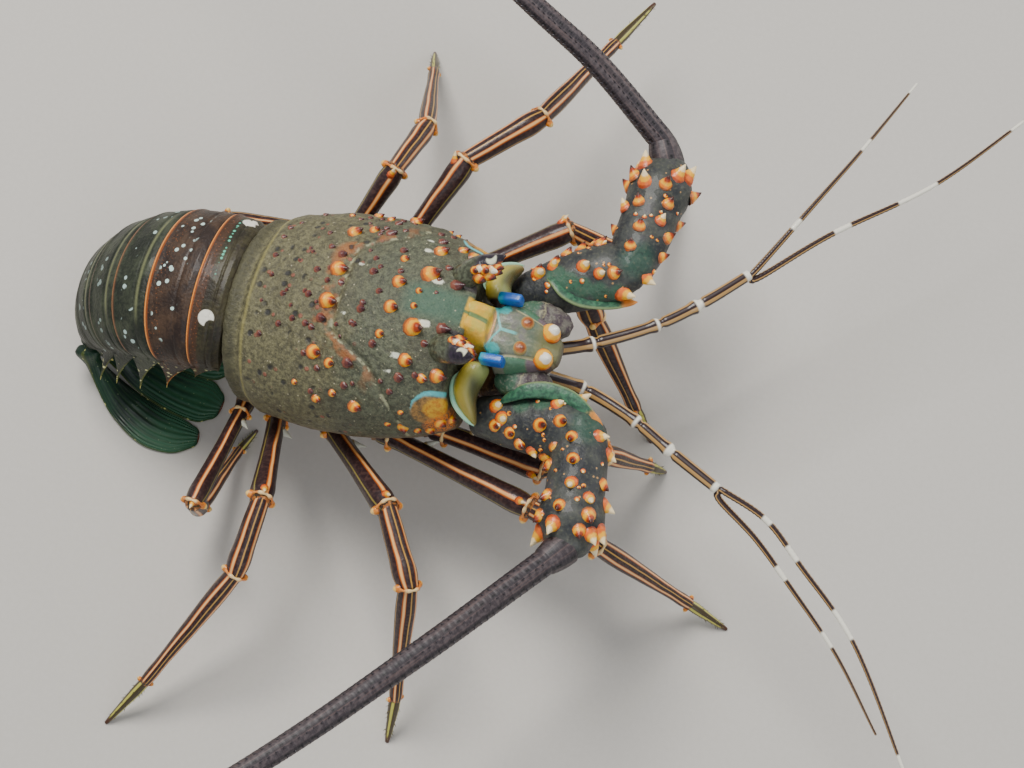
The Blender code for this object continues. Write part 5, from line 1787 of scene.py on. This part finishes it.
def fan_plate(name, rows, sign):
    rings = fan_rings(rows, sign)
    middle = [ring.mean(axis=0) for ring in rings]
    onward = unit(middle[-1] - middle[-2])
    first = middle[0] + (rings[0] - middle[0]) * 0.05
    last = [middle[-1] + (rings[-1] - middle[-1]) * share + onward * go for share, go in FAN_EDGE]
    rings = np.concatenate(([first], rings, last))
    finer = np.stack([round_ring(ring, FAN_COLUMNS) for ring in rings])
    places = np.linspace(0, FAN_STATIONS[-1], FAN_ROWS + 1)
    grid = smooth(FAN_STATIONS, finer, places)
    turn = np.linspace(0, 1, FAN_COLUMNS + 1)[None, :]
    ribs = 0.16 * np.cos(turn * 2 * math.pi * FAN_RIBS) * np.clip(places[:, None] - 2.5, 0, 1)
    grid = raised(grid, ribs)
    grid[..., 2] = np.maximum(grid[..., 2], 0.0)
    return wrap(name, grid, 1.0)


def fan_paint():
    paint = Paint("tail_fan", Coat_Weight=0.15, Specular_IOR_Level=0.35)
    turn, place, _ = paint.split(paint.uv())
    here = paint.spot()
    cloud = paint.noise(here, 0.1, 3.0)
    fine = paint.noise(here, 0.8, 3.0)
    # Painted light and shadow: the dark green ground near the hinge stands for the shadow of the tail's
    # rings, and the lighter scalloped lobes towards the free edge are painted light between those shadows.
    wave = ((turn * 16.0).part() - 0.5).size()
    painted_light_lobe = paint.rise(place + cloud * 0.1 - wave * 0.22, 0.46, 0.72) * paint.rise(place, 0.99, 0.93)
    ribs = paint.rise((turn * 26.0).part(), 0.3, 0.5) * paint.rise((turn * 26.0).part(), 0.8, 0.6)
    edge = (paint.line(turn, 3.5 / 8, 0.05, 0.05) + paint.line(turn, 7.5 / 8, 0.05, 0.05)).least(1.0)
    colour = paint.coats(
        paint.tones(cloud, 0.35, 0.65, rgb(10, 30, 24), rgb(22, 54, 38)),
        (painted_light_lobe * 0.85, rgb(50, 100, 70)),
        (ribs * 0.25, rgb(60, 92, 52)),
        (edge * 0.6, rgb(88, 98, 36)),
        (paint.dots(here, 0.4, 0.27, 0.2) * edge, rgb(224, 222, 140)),
        (paint.rise(place, 0.965, 0.985), rgb(112, 58, 34)),
        (paint.dots(here, 0.5, 0.12, 0.08) * 0.5, rgb(150, 170, 120)),
    )
    return paint.finish(colour, 0.36 + fine * 0.2, fine, 0.2)


green_paint = fan_paint()
finish(fan_plate("telson_skin", FAN_PLATES["telson"], 1), green_paint, "fan", "telson")
for name, sign in SIDES:
    for plate_name in ("inner", "outer"):
        piece = fan_plate(f"uropod_{name}_{plate_name}_skin", FAN_PLATES[plate_name], sign)
        finish(piece, green_paint, "fan", f"uropod_{name}_{plate_name}")

# %% [markdown]
# ## The legs
# Ten walking legs, each of four lengths: thigh, wrist, shank and toe. Every length is a limb that
# swells at its joints, and bright stripes run along it, so the map's U chooses the stripe. The toe
# narrows to a dark claw with bristles.

# %% The legs' lengths
# Start, knee, wrist, ankle and the tip of the toe
LEG_POINTS = {
    "right_1": ((83, -26, 48), (124, -32, 53), (144, -17, 44), (160, -5.5, 12), (166.2, -1.6, 0)),
    "right_2": ((64, -31, 42.5), (124.5, -48.5, 56), (151.5, -54.5, 53), (188, -53, 9), (204, -56, 0)),
    "right_3": ((43, -32, 37), (76.5, -64.5, 62), (91.7, -89, 58), (94, -119, 15), (94, -132, 0)),
    "right_4": ((22, -32, 33), (32, -73, 60), (29, -98, 46), (4, -138, 14), (-8, -154, 0)),
    "right_5": ((8, -31, 30), (7, -78, 50), (4, -72, 26), (6, -40, 4.5), (9, -29, 0)),
    "left_1": ((82, 26, 47), (116, 43, 60), (126, 36, 39), (149, 16.5, 10), (158, 9, 0)),
    "left_2": ((64, 31, 42.5), (109, 62, 55), (132, 61, 46), (140, 108, 12), (142, 126, 0)),
    "left_3": ((43, 32, 37), (64, 77, 60), (86.5, 103, 60), (103.6, 151, 45), (113.4, 176, 40)),
    "left_4": ((22, 32, 33), (39, 66, 60), (43, 93, 48), (32, 136, 14), (27, 152, 0)),
    "left_5": ((8, 31, 30), (-22, 38, 26), (-29, 50, 12), (1, 59, 4), (13, 62, 0)),
}
LEG_SIZE = {"1": 1.05, "2": 1.0, "3": 1.0, "4": 0.95, "5": 0.82}
THIGH_SHAPE = ((0.0, 8.4), (0.1, 7.4), (0.25, 7.2), (0.5, 7.6), (0.8, 8.8), (0.92, 9.3), (1.0, 8.2))
WRIST_SHAPE = ((0.0, 7.0), (0.2, 7.6), (0.6, 8.2), (0.88, 8.7), (1.0, 7.4))
SHANK_SHAPE = ((0.0, 6.6), (0.12, 7.3), (0.5, 6.2), (0.85, 4.8), (0.94, 5.0), (1.0, 4.4))
TOE_SHAPE = ((0.0, 4.0), (0.15, 4.2), (0.5, 3.3), (0.85, 2.2), (1.0, 1.5))
LEG_DEPTH = 1.12


def leg_paint(name, bright, thin, bright_tint, thin_tint):
    """Stripes at the given turns; bright and thin name the turns, and each comes on both faces."""
    paint = Paint(name, Roughness=0.4, Coat_Weight=0.2, Specular_IOR_Level=0.35)
    turn, length, _ = paint.split(paint.uv())
    here = paint.spot()
    wobble = paint.noise(here, 0.06, 1.0) * 0.05 - 0.025
    half = ((turn + wobble) * 2.0).part()
    fine = paint.noise(here, 0.8, 2.0)
    colour = paint.tones(fine, 0.4, 0.7, LEG_BROWN, rgb(72, 50, 46))
    for place in thin:
        colour = paint.mix(paint.line(half, place, 0.022, 0.02), colour, thin_tint)
    for place in bright:
        colour = paint.mix(paint.line(half, place, 0.064, 0.03), colour, rgb(176, 84, 18))
        colour = paint.mix(paint.line(half, place - 0.008, 0.036, 0.04), colour, bright_tint)
    ends = (paint.rise(length, 0.05, 0.025) + paint.rise(length, 0.95, 0.975)).least(1.0)
    colour = paint.mix(ends * 0.8, colour, paint.tones(fine, 0.45, 0.55, rgb(58, 48, 34), rgb(176, 106, 44)))
    return paint.finish(colour, None, fine, 0.15)


LEG_BROWN = rgb(44, 27, 29)
BRIGHT_TURNS, THIN_TURNS = (0.28, 0.72), (0.02, 0.5)
thigh_paint = leg_paint("leg_thigh", (0.5,), (0.12, 0.88), rgb(244, 180, 108), rgb(142, 128, 62))
wrist_paint = leg_paint("leg_wrist", BRIGHT_TURNS, THIN_TURNS, rgb(246, 186, 116), rgb(190, 142, 66))
shank_paint = leg_paint("leg_shank", BRIGHT_TURNS, THIN_TURNS, rgb(246, 190, 126), rgb(190, 146, 74))


def toe_paint():
    paint = Paint("leg_toe", Roughness=0.35, Coat_Weight=0.2)
    turn, length, _ = paint.split(paint.uv())
    stripe = paint.line((turn * 4.0).part(), 0.5, 0.16, 0.12)
    colour = paint.mix(stripe, rgb(66, 54, 30), rgb(196, 190, 84))
    colour = paint.mix(paint.rise(length, 0.78, 0.9), colour, rgb(74, 40, 20))
    return paint.finish(colour)


claw_paint = toe_paint()
# Each length's name, the solid it replaces, its shape, rows and paint
LEG_LENGTHS = (
    ("thigh", "upper", THIGH_SHAPE, 60, thigh_paint),
    ("wrist", "lower", WRIST_SHAPE, 36, wrist_paint),
    ("shank", "lower", SHANK_SHAPE, 50, shank_paint),
    ("toe", "lower", TOE_SHAPE, 40, claw_paint),
)
LEG_COLUMNS, LEG_ROUND_OFF = 32, 0.42
# The hip's knobs and strip lie this far along the thigh
HIP_PLACE = 4.0
KNOB_WIDTHS = {"knee": 9.4, "wrist": 8.6, "ankle": 5.4, "hip": 8.6}
STRIP_WIDTHS = {"knee": 8.6, "wrist": 7.8, "hip": 7.8}
STRIP_POINTS, STRIP_COLUMNS, STRIP_END = 29, 8, 0.3
BRISTLES, BRISTLE_WIDTH, LOWEST_BRISTLE = 46, 0.32, 1.6
leg_knobs, hip_teeth, bristles, knee_thorns, strips = [], [], [], [], []


def leg_length(name, node, start, end, shape, size, side, rows, paint):
    """One length of a leg, cut flat where it meets the floor."""
    sized = [(fraction, width * size) for fraction, width in shape]
    grid = limb_grid(start, end, sized, side, LEG_DEPTH, rows, LEG_COLUMNS, LEG_ROUND_OFF)
    piece = wrap(name, grid, 1.0)
    points = corners(piece)
    points[:, 2] = np.maximum(points[:, 2], 0.0)
    move_corners(piece, points)
    finish(piece, paint, "leg", node)
    return piece


def joint_knobs(joint, before, after, side, width):
    """A pair of hinge knobs at a joint's sides."""
    along = unit(np.subtract(after, before))
    out = unit(np.cross(side, along))
    for sign in (1, -1):
        root = joint + side * sign * width * 0.42
        leg_knobs.append(stand(root, side * sign + out * 0.3, along, width * 0.36, width * 0.4))


def joint_strip(joint, before, after, side, width):
    """A pale bar over a joint, from one hinge knob to the other."""
    along = unit(np.subtract(after, before))
    out = np.cross(along, side)
    out = out if out[2] > 0 else -out
    turns = np.radians(np.linspace(12, 168, STRIP_POINTS))[:, None]
    path = joint + (side * np.cos(turns) + out * LEG_DEPTH * np.sin(turns)) * (width / 2 + 0.05)
    widths = 1.2 + 0.35 * np.cos(np.linspace(0, 6 * math.pi, STRIP_POINTS))
    widths[0], widths[-1] = STRIP_END, STRIP_END
    strips.append(wrap("strip", tube_grid(path, widths, along, STRIP_COLUMNS), 1.0))


def leg_thorns(thigh, start, knee, wrist, size):
    """One thorn on the outside of the knee and one tooth in front of the hip."""
    along = unit(knee - start)
    bend = unit(along - unit(wrist - knee))
    root, _ = on_skin(thigh, knee - along * 3.2 * size + bend * 4.6 * size)
    knee_thorns.append(stand(root, bend + along * 0.8, along, 2.6 * size, 3.8 * size))
    root, out = on_skin(thigh, start + (knee - start) * 0.16 + HEADWARD * 8.0)
    hip_teeth.append(stand(root, out + along * 0.7, along, 3.0 * size, 5.0 * size))


def toe_bristles(ankle, toe, side, size):
    """Bristles all round the toe, but none where it meets the floor."""
    way = unit(toe - ankle)
    across, beside = cross_frame(way, side)
    for _ in range(BRISTLES):
        fraction, turn = chance.uniform(0.12, 0.92), chance.uniform(0, 2 * math.pi)
        out = across * math.cos(turn) + beside * math.sin(turn)
        width = size * widths_at(TOE_SHAPE, fraction) / 2
        root = ankle + (toe - ankle) * fraction + out * width * 0.85
        if root[2] > LOWEST_BRISTLE:
            bristles.append(stand(root, out + way * 1.2, way, BRISTLE_WIDTH, chance.uniform(1.0, 1.9)))


def leg(name):
    start, knee, wrist, ankle, toe = points = [np.array(point, float) for point in LEG_POINTS[name]]
    size = LEG_SIZE[name[-1]]
    side = unit(np.cross(knee - start, ankle - knee))
    pieces = []
    for (part, node, shape, rows, paint), first, last in zip(LEG_LENGTHS, points, points[1:]):
        whole, node = f"leg_{name}_{part}", f"leg_{name}_{node}"
        pieces.append(leg_length(whole, node, first, last, shape, size, side, rows, paint))
    hip = start + unit(knee - start) * HIP_PLACE
    # The joint, and the points before and after it
    joints = {
        "knee": (knee, start, wrist), "wrist": (wrist, knee, ankle), "ankle": (ankle, wrist, toe),
        "hip": (hip, start, knee),
    }
    for joint, width in KNOB_WIDTHS.items():
        joint_knobs(*joints[joint], side, width * size)
    for joint, width in STRIP_WIDTHS.items():
        joint_strip(*joints[joint], side, width * size)
    leg_thorns(pieces[0], start, knee, wrist, size)
    toe_bristles(ankle, toe, side, size)


for name in LEG_POINTS:
    leg(name)
print("legs:", len(LEG_POINTS), "bristles:", len(bristles))

# %% [markdown]
# ## The legs' small forms
# The places gathered above are planted now: hinge knobs, pale strips over the joints, a thorn at
# each knee, a white tooth at each hip and the toes' bristles.

# %% The legs' small forms
JOINT_KNOB = (((-0.5, 0.5), (0.0, 0.5), (0.28, 0.44), (0.5, 0.3), (0.62, 0.1)), 0.0)
BRISTLE = (((-0.2, 0.5), (0.5, 0.35), (1.0, 0.05)), 0.0)
joint_paint = thorn_paint(
    "joint_knob", (-0.5, rgb(120, 60, 30)), (-0.05, rgb(224, 132, 36)), (0.36, rgb(246, 206, 120)),
)
strip_paint = thorn_paint(
    "joint_strip", (-0.2, rgb(222, 128, 52)), (0.3, rgb(240, 206, 146)), (0.75, rgb(226, 140, 62)),
)
bristle_paint = thorn_paint("bristle", (-0.2, rgb(120, 110, 60)), (0.5, rgb(70, 60, 40)))
white_tooth = thorn_paint("hip_tooth", (-0.3, rgb(176, 150, 96)), (0.0, rgb(222, 222, 204)))
sprout("leg_joint_knobs", JOINT_KNOB, 12, leg_knobs, joint_paint, "leg")
finish(join("leg_joint_strips", strips), strip_paint, "leg")
sprout("leg_knee_thorns", THORN, 10, knee_thorns, pale_paint, "leg")
sprout("leg_hip_teeth", THORN, 10, hip_teeth, white_tooth, "leg")
sprout("toe_bristles", BRISTLE, 4, bristles, bristle_paint, "leg")

# %% [markdown]
# ## The underside
# The breastplate, the mouthparts and the two mouth legs keep the solids' plain forms, because they
# are hardly seen. They get a living colour: cream and maroon blotches with fine grain.

# %% Paint for the underside
UNDERSIDE = ("sternum", "mouthparts", "maxilliped_left", "maxilliped_right")


def belly_paint():
    paint = Paint("belly", Roughness=0.5)
    here = paint.spot()
    cloud = paint.noise(here, 0.12, 3.0)
    fine = paint.noise(here, 0.8, 3.0)
    colour = paint.tones(cloud, 0.42, 0.58, rgb(64, 46, 40), rgb(132, 98, 66))
    colour = paint.mix(paint.rise(fine, 0.5, 0.7) * 0.5, colour, rgb(184, 152, 104))
    return paint.finish(colour, None, fine, 0.3)


belly = belly_paint()
for node in UNDERSIDE:
    for place in bpy.data.objects[node].material_slots:
        place.material = belly.material
print("painted:", UNDERSIDE)

# %% [markdown]
# ## The floor, the light and the camera
# The model stands on a plain pale floor in soft studio light: a large lamp high on the far side,
# a second to fill the shadows and a weak one for the near side. The camera looks steeply
# down from the animal's front right, as the photograph does.

# %% Floor, lamps and camera
def lamp(name, place, size, power, warmth):
    data = bpy.data.lights.new(name, "AREA")
    data.size = size
    data.energy = power
    data.color = warmth
    light = bpy.data.objects.new(name, data)
    light.location = place
    light.rotation_euler = (Vector(AIM) - Vector(place)).to_track_quat("-Z", "Y").to_euler()
    bpy.context.scene.collection.objects.link(light)


def floor():
    deselect()
    bpy.ops.mesh.primitive_plane_add(size=6, location=(0, 0, 0))
    plane = bpy.context.object
    plane.name = "floor"
    paint = Paint("floor_card")
    grain = paint.noise(paint.spot(), 0.5, 3.0)
    paint.finish(paint.mix(grain, rgb(196, 192, 184), rgb(204, 200, 193)), 0.8)
    plane.data.materials.append(paint.material)


floor()
AIM = (0.03, 0.03, 0.05)
# Name, place and size in metres, power and colour
LAMPS = (
    ("key", (-0.35, 0.45, 1.15), 0.55, 17.0, (1.0, 0.97, 0.93)),
    ("fill", (0.55, -0.9, 0.9), 1.2, 7.0, (0.93, 0.97, 1.0)),
    ("rim", (0.9, 0.8, 0.5), 0.8, 4.0, (1.0, 0.98, 0.95)),
)
SKY_COLOUR, SKY_STRENGTH = (0.9, 0.93, 1.0, 1.0), 0.35
# Millimetres for the lens, the sensor and the place; degrees for the turns
LENS, SENSOR_WIDTH = 77.34, 36.0
CAMERA_PLACE, CAMERA_TURNS = (188.5, -294.1, 802.1), (22, 0, 16)
for row in LAMPS:
    lamp(*row)
world = bpy.data.worlds.new("studio")
bpy.context.scene.world = world
world.use_nodes = True
world.node_tree.nodes["Background"].inputs["Color"].default_value = SKY_COLOUR
world.node_tree.nodes["Background"].inputs["Strength"].default_value = SKY_STRENGTH

camera_data = bpy.data.cameras.new("camera")
camera_data.lens = LENS
camera_data.sensor_width = SENSOR_WIDTH
camera_data.clip_start = 0.05
camera = bpy.data.objects.new("camera", camera_data)
camera.location = metres(CAMERA_PLACE)
camera.rotation_euler = [math.radians(turn) for turn in CAMERA_TURNS]
bpy.context.scene.collection.objects.link(camera)
bpy.context.scene.camera = camera
